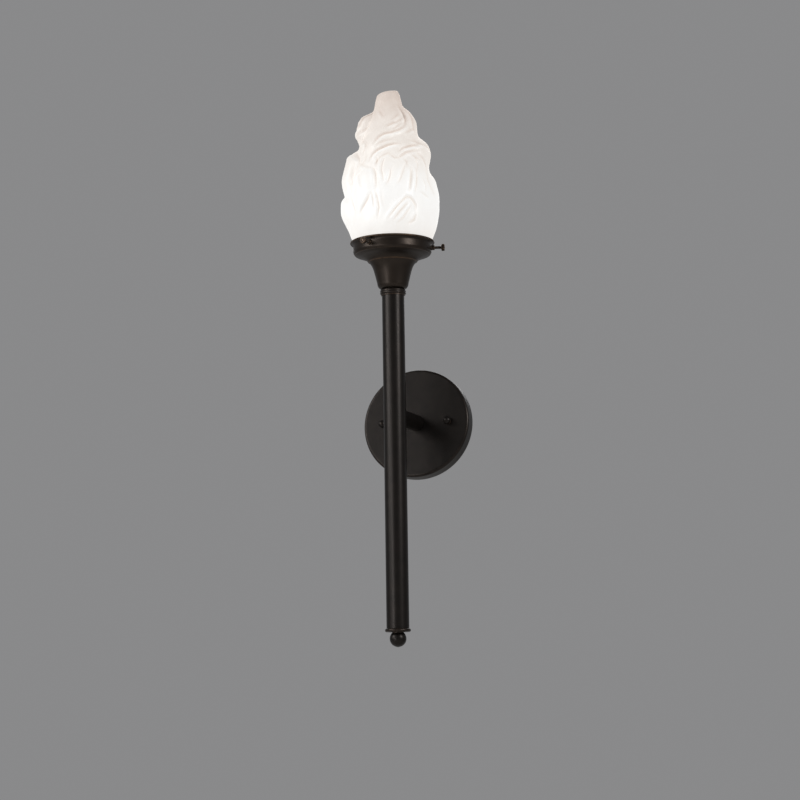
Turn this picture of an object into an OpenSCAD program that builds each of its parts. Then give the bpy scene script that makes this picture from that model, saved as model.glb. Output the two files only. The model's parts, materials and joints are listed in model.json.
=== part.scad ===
// Torch sconce: a wall light shaped like a torch, with a flame shade of frosted glass.
// Origin: the middle of the canopy on the wall. +X right, -Y out of the wall, +Z up. Millimetres.

/* [Wall plate] */
// Diameter of the canopy, the dish that lies on the wall
canopy_d = 128; // [120:1:150]
// How far the canopy's flat face stands off the wall
canopy_depth = 17; // [17:0.5:26]
// Sheet thickness of the canopy
canopy_sheet = 1.5; // [1:0.1:1.8]
// Radius of the canopy's front edge
canopy_edge_r = 3; // [2:0.5:5]
// Distance between the two canopy studs
stud_spacing = 79; // [74:1:84]
// Thread diameter of the canopy studs
stud_d = 4.2; // [3.5:0.1:5]
// Diameter of the ball nuts on the canopy's face
ball_nut_d = 9; // [8:0.5:12]
// Diameter of the mounting plate behind the canopy
plate_d = 108; // [106:1:112]
// Thickness of the mounting plate
plate_t = 2; // [1.5:0.1:2.2]
// Distance between the slots for the wall box screws
box_spacing = 88.9; // [84:0.1:90]
// Width of those slots
slot_w = 4.8; // [4:0.1:6]
// Length of those slots, end to end
slot_len = 12; // [8:0.5:13]
// Diameter of the wire hole in the plate
wire_hole_d = 26; // [18:1:34]

/* [Arm] */
// Angle by which the arm droops and the torch leans out from the wall
lean = 6.2; // [0:0.1:8]
// Length along the arm from the canopy's face to the torch's centre line
arm_reach = 73.4; // [60:0.1:110]
// Outside diameter of the arm tube
arm_d = 19.05; // [17:0.05:21]
// Wall of the arm tube
arm_wall = 1.2; // [0.8:0.1:2]
// Outside diameter of the threaded pipe
pipe_d = 9.7; // [9:0.1:10.4]
// Bore of the threaded pipe
pipe_bore = 6.4; // [6:0.1:7]
// Thickness of the nut that draws the arm up inside the canopy
canopy_nut_t = 3.5; // [2.5:0.1:4]

/* [Torch tube] */
// Outside diameter of the torch tube
torch_d = 25.4; // [24:0.1:28]
// Wall of the torch tube
torch_wall = 1.2; // [0.8:0.1:1.6]
// Length of the torch tube above the arm
tube_up = 138.3; // [100:0.1:180]
// Length of the torch tube below the arm
tube_down = 239.2; // [150:0.1:300]
// Length of the block inside the tube at the arm
tee_len = 30; // [26:1:50]
// Diameter of the rod from the block down to the finial
rod_d = 6.35; // [5:0.05:7]
// Diameter of the disc that closes the tube's bottom
disc_d = 28.9; // [28.9:0.1:34]
// Thickness of that disc
disc_t = 4; // [3:0.1:6]
// Diameter of the ball finial
finial_d = 18.6; // [15:0.1:22]
// Height of the finial's pointed foot below the ball's centre
finial_drop = 9.5; // [9.3:0.1:12]
// Diameter of the ring round the tube's top
ring_d = 29.4; // [28.6:0.1:32]
// Height of the ring above the tube's end
ring_h = 6; // [4:0.5:10]

/* [Shade holder] */
// Height of the trumpet bell
bell_h = 32; // [26:1:40]
// Radius of the bell above its rounded foot
bell_foot_r = 17.7; // [15.5:0.1:18]
// Radius of the bell's mouth under the cup
bell_mouth_r = 27.2; // [24:0.1:28]
// Sheet thickness of the bell and the cup
spun_sheet = 1.3; // [1:0.1:1.6]
// Outside radius of the cup's upright wall
cup_r = 44.7; // [44.7:0.1:50]
// Height of the cup from its floor to its rim
cup_h = 23; // [22:0.5:30]
// Width of the cup's flared lip beyond its wall
lip_w = 3.6; // [2.6:0.1:5]
// Distance from the rim down to the shade screws
screw_drop = 7.7; // [7.5:0.1:8]
// Turn of the three shade screws about the torch
screw_turn = 15; // [-180:1:180]
// Thread diameter of a shade screw
screw_d = 3.5; // [3:0.1:4]
// Distance from the cup's wall to the shade screw's knob
knob_reach = 11.2; // [8:0.1:16]
// Diameter of a shade screw's knob
knob_d = 8; // [6:0.1:10]
// Thickness of a shade screw's knob
knob_t = 3.8; // [3:0.1:6]
// Diameter of the bosses that the shade screws run in
boss_d = 5.6; // [5:0.1:5.8]
// Length of those bosses
boss_len = 3.6; // [2.5:0.1:5]

/* [Lamp] */
// Outside diameter of the lamp socket
socket_d = 34; // [33:0.5:38]
// Height of the lamp socket
socket_h = 42; // [40:1:48]
// Diameter of the lamp's screw cap
cap_d = 26; // [25:0.1:26.2]
// Diameter of the lamp's glass bulb
bulb_d = 48; // [40:1:52]
// Length of the lamp, from its contact to its crown
bulb_len = 86; // [84:1:100]
// Diameter of an insulated lead
lead_d = 2; // [1.6:0.1:2.2]
// Diameter of a wire connector
connector_d = 10; // [8:0.5:10.5]
// Length of a wire connector
connector_len = 18; // [14:1:20]

/* [Flame shade] */
// Height of the flame above the cup's rim
flame_h = 178; // [165:1:220]
// Wall of the glass
glass_wall = 3; // [2:0.1:3.5]
// Radius of the shade's fitter lip
fitter_r = 41.3; // [39:0.1:41.3]
// Depth of the groove that the shade screws hold
groove_depth = 1.5; // [1:0.1:2]
// Length of the neck below the cup's rim
neck_len = 14; // [13:0.1:14]
// Turn of the flame's tongues about the torch
flame_turn = 19; // [-180:1:180]
// Height of the tongues' relief, as a share of the carved form
relief = 1; // [0.4:0.05:1.1]
// Facets round the glass
flame_sides = 60; // [24:6:72]
// Rings of facets up the glass
flame_rings = 44; // [20:2:48]

/* [Hidden] */
$fn = 96;

bronze = [0.11, 0.095, 0.085];
steel = [0.62, 0.63, 0.65];
brass = [0.78, 0.62, 0.3];
black_plastic = [0.06, 0.06, 0.065];
ceramic = [0.92, 0.91, 0.88];
orange = [0.85, 0.4, 0.1];
frosted = [0.97, 0.96, 0.93, 0.9];

// Radial clearance of a thread or a sliding fit
fit_gap = 0.05;
// Play of a screw in a plain hole
hole_play = 0.4;
// How far a cutting shape runs past what it cuts
past = 1;

// Wall plate
canopy_r = canopy_d / 2;
stud_x = stud_spacing / 2;
stud_nut_af = stud_d * 2.1;
stud_nut_t = stud_d * 0.75;
ground_z = -30;
ground_d = 4;
ground_head_d = 9;
ground_head_t = 2.5;
ground_color = [0.1, 0.42, 0.2];

// Canopy stack on the arm pipe, as distances from the canopy's face towards the wall
washer_r = 9;
thin_side = 0.6;
ring_t = 0.8;
ground_ring_r = washer_r - 1;
ground_tab = washer_r + 3;
s_tilt = (canopy_sheet + washer_r * sin(lean)) / cos(lean) + thin_side;
s_ring = s_tilt + ring_t;
s_lock = s_ring + ring_t;
s_nut = s_lock + canopy_nut_t;
pipe_end = 1;
s_pipe = s_nut + pipe_end;
canopy_nut_af = 14;

// Torch heights, measured up the torch from the arm's centre line
core_r = 6;
ring_lap = 1.4;
z_bell = tube_up + ring_h;
z_cup = z_bell + bell_h;
z_rim = z_cup + cup_h;
plug_len = 6;
cup_washer_t = 1;
cup_washer_r = 14;
cup_nut_t = 3.5;
z_nut = z_cup + spun_sheet + cup_washer_t;
z_socket = z_nut + cup_nut_t + 2 * fit_gap;
tube_bore_r = torch_d / 2 - torch_wall;
z_rod_end = -tube_down - disc_t - finial_d / 2;

// Lamp socket heights, measured up from its base
socket_sheet = 1.2;
boss_h = 5;
body_z = 14;
body_t = 4;
cap_h = body_z + body_t + 2;
contact_t = 1.2;
socket_in_r = socket_d / 2 - socket_sheet;
body_r = socket_in_r - fit_gap;
step_r = body_r - past;
shell_r = cap_d / 2 + 0.35;
shell_t = 0.5;
shell_inset = 1;
contact_r = 5;
hole_x = 7;
lead_seat = 3.2;
terminal_r = 0.9;
terminal_z = 2;
bulb_z = body_z + body_t + contact_t + 2 * fit_gap;

// Shade screws
screw_z = z_rim - screw_drop;
groove_r = fitter_r - groove_depth;
tip_r = groove_r + 0.2;
knob_in_r = cup_r + knob_reach;
knob_bore = knob_t - 0.8;

// Leads: side by side in the pipes, then apart behind the canopy
lead_x = lead_d / 2 + 0.15;
turn_steps = 5;
lead_sides = 8;

// Frames
module on_arm() translate([0, -canopy_depth, 0]) rotate([lean, 0, 0]) children();
module on_torch() on_arm() translate([0, -arm_reach, 0]) children();
module on_socket() on_torch() translate([0, 0, z_socket]) children();
module out_of_wall() rotate([90, 0, 0]) children();
module in_front_of(y) translate([-canopy_r, y - canopy_d, -canopy_r]) cube(canopy_d);
module behind(y) translate([-canopy_r, y, -canopy_r]) cube(canopy_d);
function from_arm(p) = [
  p.x,
  -canopy_depth + p.y * cos(lean) - p.z * sin(lean),
  p.y * sin(lean) + p.z * cos(lean)
];
function from_torch(p) = from_arm([p.x, p.y - arm_reach, p.z]);
function arc(cx, cy, r, a0, a1, n) = [
  for (i = [0:n]) let (a = a0 + (a1 - a0) * i / n) [cx + r * cos(a), cy + r * sin(a)]
];
function reversed(list) = [for (i = [len(list) - 1:-1:0]) list[i]];
function clamp01(v) = max(0, min(1, v));
function smooth(v) = let (t = clamp01(v)) t * t * (3 - 2 * t);

module ring(outer_r, inner_r, h) {
  difference() {
    cylinder(r = outer_r, h = h);
    translate([0, 0, -past]) cylinder(r = inner_r, h = h + 2 * past);
  }
}

module hex_nut(across_flats, bore_r, h) {
  difference() {
    cylinder(d = across_flats / cos(30), h = h, $fn = 6);
    translate([0, 0, -past]) cylinder(r = bore_r, h = h + 2 * past, $fn = 64);
  }
}

// ---------------------------------------------------------------- wall plate

module dish_outline(r, h, edge) {
  square([r - edge, h]);
  square([r, h - edge]);
  translate([r - edge, h - edge]) circle(r = edge);
}

module canopy() {
  inner_edge = canopy_edge_r - canopy_sheet / 2;
  hollow_h = canopy_depth - canopy_sheet + past;
  color(bronze) difference() {
    out_of_wall() rotate_extrude() difference() {
      dish_outline(canopy_r, canopy_depth, canopy_edge_r);
      translate([0, -past]) dish_outline(canopy_r - canopy_sheet, hollow_h, inner_edge);
    }
    out_of_wall() cylinder(d = pipe_d + 3 * hole_play, h = canopy_depth + past);
    for (side = [-1, 1]) translate([side * stud_x, 0, 0])
      out_of_wall() cylinder(d = stud_d + 2 * hole_play, h = canopy_depth + past);
  }
}

module slot_cut() {
  travel = (slot_len - slot_w) / 2;
  for (z = [-travel, travel]) translate([0, z, -past]) cylinder(d = slot_w, h = plate_t + 2 * past);
  translate([-slot_w / 2, -travel, -past]) cube([slot_w, 2 * travel, plate_t + 2 * past]);
}

module mounting_plate() {
  color(steel) out_of_wall() difference() {
    cylinder(d = plate_d, h = plate_t);
    translate([0, 0, -past]) cylinder(d = wire_hole_d, h = plate_t + 2 * past);
    for (side = [-1, 1]) {
      translate([0, side * box_spacing / 2, 0]) slot_cut();
      translate([side * stud_x, 0, -past]) cylinder(r = stud_d / 2 + fit_gap, h = plate_t + 2 * past);
    }
    translate([0, ground_z, -past]) cylinder(r = ground_d / 2 + fit_gap, h = plate_t + 2 * past);
  }
}

module canopy_stud(side) {
  color(steel) translate([side * stud_x, 0, 0])
    out_of_wall() cylinder(d = stud_d, h = canopy_depth + ball_nut_d / 2);
}

module stud_nut(side) {
  color(steel) translate([side * stud_x, -plate_t, 0]) out_of_wall()
    hex_nut(stud_nut_af, stud_d / 2 + fit_gap, stud_nut_t);
}

module ball_nut(side) {
  foot_h = 1;
  foot_d = ball_nut_d * 0.8;
  ball_z = foot_h + ball_nut_d * 0.42;
  color(bronze) translate([side * stud_x, -canopy_depth, 0]) out_of_wall() difference() {
    union() {
      cylinder(d = foot_d, h = foot_h + past);
      intersection() {
        translate([0, 0, ball_z]) sphere(d = ball_nut_d);
        translate([0, 0, foot_h]) cylinder(d = ball_nut_d, h = 2 * ball_nut_d);
      }
    }
    translate([0, 0, -past]) cylinder(r = stud_d / 2 + fit_gap, h = ball_nut_d / 2 + past + fit_gap);
  }
}

module ground_screw() {
  color(ground_color) translate([0, 0, ground_z]) out_of_wall() {
    cylinder(d = ground_d, h = plate_t + lead_d + 2 * fit_gap);
    translate([0, 0, plate_t + lead_d + 2 * fit_gap]) cylinder(d = ground_head_d, h = ground_head_t);
  }
}

module ground_ring() {
  tab_w = 4;
  color(brass) on_arm() translate([0, s_ring, 0]) difference() {
    union() {
      out_of_wall() cylinder(r = ground_ring_r, h = ring_t);
      translate([-tab_w / 2, -ring_t, -ground_tab]) cube([tab_w, ring_t, ground_tab]);
    }
    translate([0, past, 0]) out_of_wall() cylinder(r = pipe_d / 2 + fit_gap, h = ring_t + 2 * past);
  }
}

// ---------------------------------------------------------------- arm

module arm_tube() {
  start = arm_d / 2;
  color(bronze) difference() {
    on_arm() translate([0, start, 0]) out_of_wall() cylinder(d = arm_d, h = arm_reach + start);
    on_arm() translate([0, start + past, 0]) out_of_wall()
      cylinder(d = arm_d - 2 * arm_wall, h = arm_reach + start + 2 * past);
    behind(-canopy_depth);
    on_torch() cylinder(d = torch_d, h = 3 * arm_d, center = true);
  }
}

module arm_pipe() {
  color(steel) on_arm() translate([0, s_pipe, 0]) out_of_wall()
    ring(pipe_d / 2, pipe_bore / 2, s_pipe + arm_reach - core_r);
}

module tilt_washer() {
  color(steel) difference() {
    on_arm() translate([0, s_tilt, 0]) out_of_wall() ring(washer_r, pipe_d / 2 + fit_gap, s_tilt + past);
    in_front_of(-canopy_depth + canopy_sheet);
  }
}

module canopy_lock_washer() {
  color(steel) on_arm() translate([0, s_lock, 0]) out_of_wall()
    ring(canopy_nut_af / 2, pipe_d / 2 + fit_gap, ring_t);
}

module canopy_nut() {
  color(brass) on_arm() translate([0, s_nut, 0]) out_of_wall()
    hex_nut(canopy_nut_af, pipe_d / 2 + fit_gap, canopy_nut_t);
}

// ---------------------------------------------------------------- torch

module torch_tube() {
  color(bronze) on_torch() difference() {
    translate([0, 0, -tube_down]) ring(torch_d / 2, tube_bore_r, tube_down + tube_up);
    translate([0, torch_d, 0]) out_of_wall() cylinder(d = pipe_d + hole_play, h = torch_d);
  }
}

module tee_block() {
  color(steel) on_torch() difference() {
    translate([0, 0, -tee_len / 2]) cylinder(r = tube_bore_r - fit_gap, h = tee_len);
    cylinder(r = pipe_d / 2 + fit_gap, h = tee_len);
    translate([0, torch_d, 0]) out_of_wall() cylinder(r = pipe_d / 2 + fit_gap, h = torch_d);
    translate([0, 0, -tee_len]) cylinder(r = rod_d / 2 + fit_gap, h = tee_len - core_r);
  }
}

module upper_pipe() {
  color(steel) on_torch() translate([0, 0, core_r])
    ring(pipe_d / 2, pipe_bore / 2, z_socket + boss_h - core_r);
}

module lower_rod() {
  color(steel) on_torch() translate([0, 0, z_rod_end]) cylinder(d = rod_d, h = -z_rod_end - core_r);
}

module neck_ring() {
  bead = 2.2;
  color(bronze) on_torch() rotate_extrude() difference() {
    union() {
      translate([0, tube_up - ring_lap]) square([ring_d / 2 - bead, ring_h + ring_lap]);
      translate([0, tube_up - ring_lap]) square([ring_d / 2 - bead / 2, ring_h + ring_lap - bead / 2]);
      translate([ring_d / 2 - bead, tube_up + ring_h - 2 * bead]) circle(r = bead, $fn = 48);
      translate([ring_d / 2 - bead, tube_up + ring_h - bead]) circle(r = bead, $fn = 48);
    }
    translate([0, tube_up - ring_lap - past]) square([torch_d / 2 + fit_gap, ring_lap + past]);
    translate([0, tube_up - past]) square([pipe_d / 2 + fit_gap, ring_h + 2 * past]);
  }
}

module bottom_disc() {
  edge = disc_t / 2;
  color(bronze) on_torch() translate([0, 0, -tube_down]) difference() {
    union() {
      rotate_extrude() {
        translate([0, -disc_t]) square([disc_d / 2 - edge, disc_t]);
        translate([disc_d / 2 - edge, -edge]) circle(r = edge, $fn = 48);
      }
      cylinder(r = tube_bore_r - fit_gap, h = plug_len);
    }
    translate([0, 0, -disc_t - past]) cylinder(r = rod_d / 2 + fit_gap, h = disc_t + plug_len + 2 * past);
  }
}

module finial() {
  ball_r = finial_d / 2;
  collar_h = 1.2;
  collar_r = ball_r * 0.72;
  ball_z = -collar_h - ball_r * 0.65;
  foot_slope = ball_r * 0.5;
  foot_top = ball_z - ball_r * 0.84;
  color(bronze) on_torch() translate([0, 0, -tube_down - disc_t]) difference() {
    rotate_extrude() {
      translate([0, -collar_h - past]) square([collar_r, collar_h + past]);
      intersection() {
        translate([0, ball_z]) circle(r = ball_r);
        translate([0, ball_z - ball_r]) square([ball_r, -ball_z + ball_r - collar_h / 2]);
      }
      polygon([[0, ball_z - finial_drop], [foot_slope, foot_top], [0, ball_z]]);
    }
    translate([0, 0, -ball_r - fit_gap]) cylinder(r = rod_d / 2 + fit_gap, h = ball_r + past);
  }
}

// ---------------------------------------------------------------- shade holder

// The bell's outline, t from 0 above its rounded foot to 1 at its mouth
foot_round = 6.4;
bell_steps = 14;
bell_cone = 0.66;
function bell_r(t) =
  bell_foot_r + (bell_mouth_r - bell_foot_r) * (bell_cone * t + (1 - bell_cone) * pow(t, 6));
function bell_side(inset) = [
  for (i = [0:bell_steps]) let (t = i / bell_steps)
    [bell_r(t) - inset, z_bell + foot_round + (bell_h - foot_round) * t]
];

module trumpet_bell() {
  foot = arc(bell_foot_r - foot_round, z_bell + foot_round, foot_round, -90, -15, 5);
  inner_foot = arc(bell_foot_r - foot_round, z_bell + foot_round, foot_round - spun_sheet, -90, -15, 5);
  hole_r = pipe_d / 2 + hole_play;
  color(bronze) on_torch() rotate_extrude() polygon(concat(
    [[hole_r, z_bell]], foot, bell_side(0),
    reversed(bell_side(spun_sheet)), reversed(inner_foot), [[hole_r, z_bell + spun_sheet]]
  ));
}

// One face of the cup's sheet, inset from the outside by d
cup_foot_r = 28.2;
cup_step_r = 31;
cup_step_h = 3.4;
bowl_r = 39.5;
bowl_rise = 7;
corner_r = 5;
corner_z = 12;
flare_r = 3.2;
lip_bead = 1.1;
flare_z = cup_h - 4.8;
function cup_face(d) = concat(
  [
    [pipe_d / 2 + hole_play, d], [cup_foot_r - d / 2, d], [cup_step_r - d / 2, cup_step_h + d],
    [bowl_r - d / 3, bowl_rise + d]
  ],
  arc(cup_r - corner_r, corner_z, corner_r - d, -55, 0, 6),
  arc(cup_r + flare_r, flare_z, flare_r + d, 180, 105, 6)
);

module shade_cup() {
  color(bronze) on_torch() translate([0, 0, z_cup]) difference() {
    rotate_extrude() {
      polygon(concat(cup_face(0), reversed(cup_face(spun_sheet))));
      translate([cup_r + lip_w - lip_bead, cup_h - lip_bead]) circle(r = lip_bead, $fn = 48);
    }
    for (i = [0:2]) rotate([0, 0, screw_turn + 120 * i]) translate([0, 0, cup_h - screw_drop])
      rotate([0, 90, 0]) cylinder(d = screw_d + 2 * hole_play, h = 2 * cup_r);
  }
}

module cup_washer() {
  color(steel) on_torch() translate([0, 0, z_cup + spun_sheet])
    ring(cup_washer_r, pipe_d / 2 + fit_gap, cup_washer_t);
}

module cup_nut() {
  color(brass) on_torch() translate([0, 0, z_nut]) hex_nut(canopy_nut_af, pipe_d / 2 + fit_gap, cup_nut_t);
}

module at_screw(i) on_torch() translate([0, 0, screw_z]) rotate([0, 0, screw_turn + 120 * (i - 1)]) children();

module screw_boss(i) {
  color(bronze) difference() {
    at_screw(i) rotate([0, 90, 0]) cylinder(d = boss_d, h = cup_r + boss_len);
    at_screw(i) rotate([0, 90, 0]) cylinder(r = screw_d / 2 + fit_gap, h = 2 * cup_r);
    on_torch() cylinder(r = cup_r, h = 2 * z_rim);
  }
}

module thumbscrew_shank(i) {
  point_h = 1.2;
  point_d = screw_d * 0.6;
  color(bronze) at_screw(i) translate([tip_r, 0, 0]) rotate([0, 90, 0]) {
    cylinder(d1 = point_d, d2 = screw_d, h = point_h);
    translate([0, 0, point_h]) cylinder(d = screw_d, h = knob_in_r + knob_bore - tip_r - point_h - fit_gap);
  }
}

module thumbscrew_knob(i) {
  flutes = 16;
  flute_r = 0.5;
  color(bronze) at_screw(i) translate([knob_in_r, 0, 0]) rotate([0, 90, 0]) difference() {
    cylinder(d = knob_d, h = knob_t);
    translate([0, 0, -past]) cylinder(r = screw_d / 2 + fit_gap, h = knob_bore + past);
    for (k = [1:flutes]) rotate([0, 0, 360 * k / flutes]) translate([knob_d / 2 + flute_r / 2, 0, -past])
      cylinder(r = flute_r, h = knob_t + 2 * past, $fn = 16);
  }
}

// ---------------------------------------------------------------- lamp socket

module socket_cap() {
  boss_r = pipe_d / 2 + 3;
  color(steel) on_socket() difference() {
    cylinder(d = socket_d, h = cap_h);
    difference() {
      translate([0, 0, socket_sheet]) cylinder(r = step_r, h = cap_h);
      cylinder(r = boss_r, h = boss_h);
    }
    translate([0, 0, body_z]) cylinder(r = socket_in_r, h = cap_h);
    translate([0, 0, -past]) cylinder(r = pipe_d / 2 + fit_gap, h = boss_h + 2 * past);
  }
}

module socket_body() {
  color(ceramic) on_socket() difference() {
    translate([0, 0, body_z]) cylinder(r = body_r, h = body_t);
    for (side = [-1, 1]) {
      translate([side * hole_x, 0, body_z - past])
        cylinder(r = lead_d / 2 + fit_gap, h = lead_seat + 2 * fit_gap + past);
      translate([side * hole_x, 0, body_z + terminal_z]) rotate([0, side * 90, 0])
        cylinder(r = terminal_r + fit_gap, h = body_r);
    }
  }
}

module terminal_screw(side) {
  sunk = 1.2;
  lead_side = hole_x + lead_d / 2;
  color(side < 0 ? brass : steel) on_socket() translate([side * (lead_side + fit_gap), 0, body_z + terminal_z])
    rotate([0, side * 90, 0]) cylinder(r = terminal_r, h = body_r - sunk - lead_side);
}

module socket_shell() {
  color(black_plastic) on_socket() translate([0, 0, cap_h])
    ring(socket_d / 2, shell_r + shell_t + hole_play, socket_h - cap_h);
}

module screw_shell() {
  color(brass) on_socket() translate([0, 0, body_z + body_t])
    ring(shell_r + shell_t, shell_r, socket_h - body_z - body_t - shell_inset);
}

module centre_contact() {
  color(brass) on_socket() translate([0, 0, body_z + body_t]) cylinder(r = contact_r, h = contact_t);
}

// ---------------------------------------------------------------- lamp

pad_r = 4.6;
pad_edge = 1;
pad_h = 1.8;
cap_foot = 4.6;
cap_foot_r = cap_d / 2 - 2.5;
cap_len = 27;
cap_cone = 2.4;
cap_floor = 2;
seat_z = cap_foot + 3;
neck_r = cap_d / 2 - 1.2;
neck_top = cap_len + 5;
bulb_wall = 0.8;
module on_bulb() on_socket() translate([0, 0, bulb_z]) children();

module bulb_contact() {
  color(steel) on_bulb() {
    cylinder(r1 = pad_r - pad_edge, r2 = pad_r, h = pad_edge);
    translate([0, 0, pad_edge]) cylinder(r = pad_r, h = pad_h - pad_edge);
  }
}

module bulb_insulator() {
  color(black_plastic) on_bulb() translate([0, 0, pad_h])
    cylinder(r1 = pad_r + shell_t, r2 = cap_foot_r, h = cap_foot - pad_h);
}

module bulb_cap() {
  color(steel) on_bulb() translate([0, 0, cap_foot]) difference() {
    union() {
      cylinder(r1 = cap_foot_r, r2 = cap_d / 2, h = cap_cone);
      translate([0, 0, cap_cone]) cylinder(d = cap_d, h = cap_len - cap_foot - cap_cone);
    }
    translate([0, 0, cap_floor]) cylinder(r = neck_r + fit_gap, h = cap_len);
  }
}

module bulb_outline(inset) {
  r = bulb_d / 2;
  middle = bulb_len - r;
  difference() {
    union() {
      translate([0, middle]) circle(r = r - inset);
      polygon([
        [0, seat_z + inset], [neck_r - inset, seat_z + inset], [neck_r - inset, neck_top],
        [r * 0.9 - inset, middle - r * 0.38], [0, middle]
      ]);
    }
    translate([-bulb_d, 0]) square([bulb_d, 2 * bulb_len]);
  }
}

module bulb_glass() {
  color([0.98, 0.95, 0.88, 0.6]) on_bulb() rotate_extrude() difference() {
    bulb_outline(0);
    bulb_outline(bulb_wall);
  }
}

stem_z = seat_z + bulb_wall;
stem_foot_r = 6;
stem_foot_h = 8;
stem_r = 3;
stem_top = bulb_len - bulb_d / 2 - 12;
filament_z = bulb_len - bulb_d / 2 - 2;
filament_r = 7;
filament_wire = 0.5;

module bulb_stem() {
  color([0.85, 0.9, 0.9, 0.7]) on_bulb() translate([0, 0, stem_z + fit_gap]) {
    cylinder(r1 = stem_foot_r, r2 = stem_r, h = stem_foot_h);
    translate([0, 0, stem_foot_h]) cylinder(r = stem_r, h = stem_top - stem_z - stem_foot_h);
  }
}

module bulb_filament() {
  open_angle = 70;
  leg_angle = open_angle / 2 + 8;
  leg_in = filament_r - stem_r / 2;
  leg_rise = filament_z - stem_top - filament_wire / 2;
  color([0.9, 0.6, 0.3]) on_bulb() {
    translate([0, 0, filament_z]) rotate([0, 0, 90 + open_angle / 2])
      rotate_extrude(angle = 360 - open_angle) translate([filament_r, 0]) circle(r = filament_wire, $fn = 24);
    for (side = [-1, 1]) rotate([0, 0, 90 + side * leg_angle]) translate([filament_r, 0, filament_z])
      rotate([0, atan(leg_in / leg_rise) - 180, 0])
        cylinder(r = filament_wire * 0.8, h = norm([leg_in, leg_rise]), $fn = 24);
  }
}

// ---------------------------------------------------------------- flame shade

// The plain form under the tongues: heights as shares of the flame's height, radii in millimetres
CORE = [
  [0.00, 44.3], [0.04, 47.8], [0.10, 50.2], [0.20, 51.0], [0.30, 50.4], [0.40, 47.0], [0.50, 42.2],
  [0.60, 37.2], [0.70, 31.2], [0.79, 25.0], [0.85, 19.2], [0.885, 16.2], [0.93, 15.2], [0.97, 12.8]
];
// Each tongue: azimuth and height of its tip, half width, length, relief, sideways sweep per millimetre
TONGUES = [
  [-88, 55.5, 20, 46, 7.6, 0.1], [-92, 109, 21, 70, 11.4, 0.15], [-97, 153.5, 14, 46, 12.6, 0.3],
  [82, 158.5, 15, 36, 4.8, 0.2], [90, 123, 26, 40, 7.8, 0.2], [90, 79.5, 24, 80, 3.8, 0.1],
  [-38, 80, 16, 62, 5, 0.1], [26, 92, 17, 66, 6, 0.25], [18, 42, 15, 44, 5, 0.6],
  [-8, 60, 13, 60, 3.5, 0.3], [-20, 132, 26, 44, 5, 0.9], [30, 112, 24, 38, 4, 0.8],
  [140, 66, 24, 66, 8, 0.2], [-140, 84, 25, 80, 7, 0.2], [165, 112, 24, 62, 9, 0.3],
  [-150, 138, 20, 48, 8, 0.3], [150, 150, 15, 42, 6, 0.3], [-170, 46, 20, 46, 5, 0.3]
];
// The height at which the tongues were drawn
DRAWN_H = 178;
function core(z) = lookup(clamp01(z / flame_h), CORE);
function wrap(a) = a - 360 * floor((a + 180) / 360);
function tongue(t, a, z) =
  let (
    down = t[1] * flame_h / DRAWN_H - z,
    across = wrap(a - t[0] + t[5] * down) * core(z) * PI / 180,
    width = t[2] * sin(90 * clamp01(down / (0.9 * t[2]))),
    side = width <= 0 ? 0 : max(0, 1 - pow(across / width, 2)),
    rise = sin(90 * clamp01(down / (0.5 * t[2]))),
    fade = 1 - smooth((down - 0.45 * t[3]) / (0.55 * t[3]))
  )
  down <= 0 || down >= t[3] ? 0 : t[4] * rise * fade * pow(side, 0.7);
relief_start = 16;
function glass_r(a, z) =
  core(z) + relief * smooth(z / relief_start) * max([for (t = TONGUES) tongue(t, a, z)]);
// The glass swings aside below its top, which leans the other way
swing = 2.2;
swing_start = 140;
swing_h = 25;
function sway(z) = -swing * smooth((z * DRAWN_H / flame_h - swing_start) / swing_h);
// Local azimuth of the lean
lean_turn = flame_turn - 5;
function shifted(p, by) = [p.x + by * cos(lean_turn), p.y + by * sin(lean_turn), p.z];
function ring_at(r, z) = [
  for (k = [0:flame_sides - 1]) let (a = 360 * k / flame_sides) shifted([r * cos(a), r * sin(a), z], sway(z))
];
// A tongue's azimuth counts from the viewer's side of the torch
function carved_ring(z) = [
  for (k = [0:flame_sides - 1]) let (a = 360 * k / flame_sides, r = glass_r(a + 90 - flame_turn, z))
    [r * cos(a), r * sin(a), z]
];
// Rings of the closed top: share of the radius, share of the height left, sideways shift
CROWN = [[0.93, 0.25, -1.7], [0.80, 0.50, -0.7], [0.62, 0.72, 1.0], [0.30, 0.92, 4.8], [0.05, 1, 7.3]];

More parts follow.
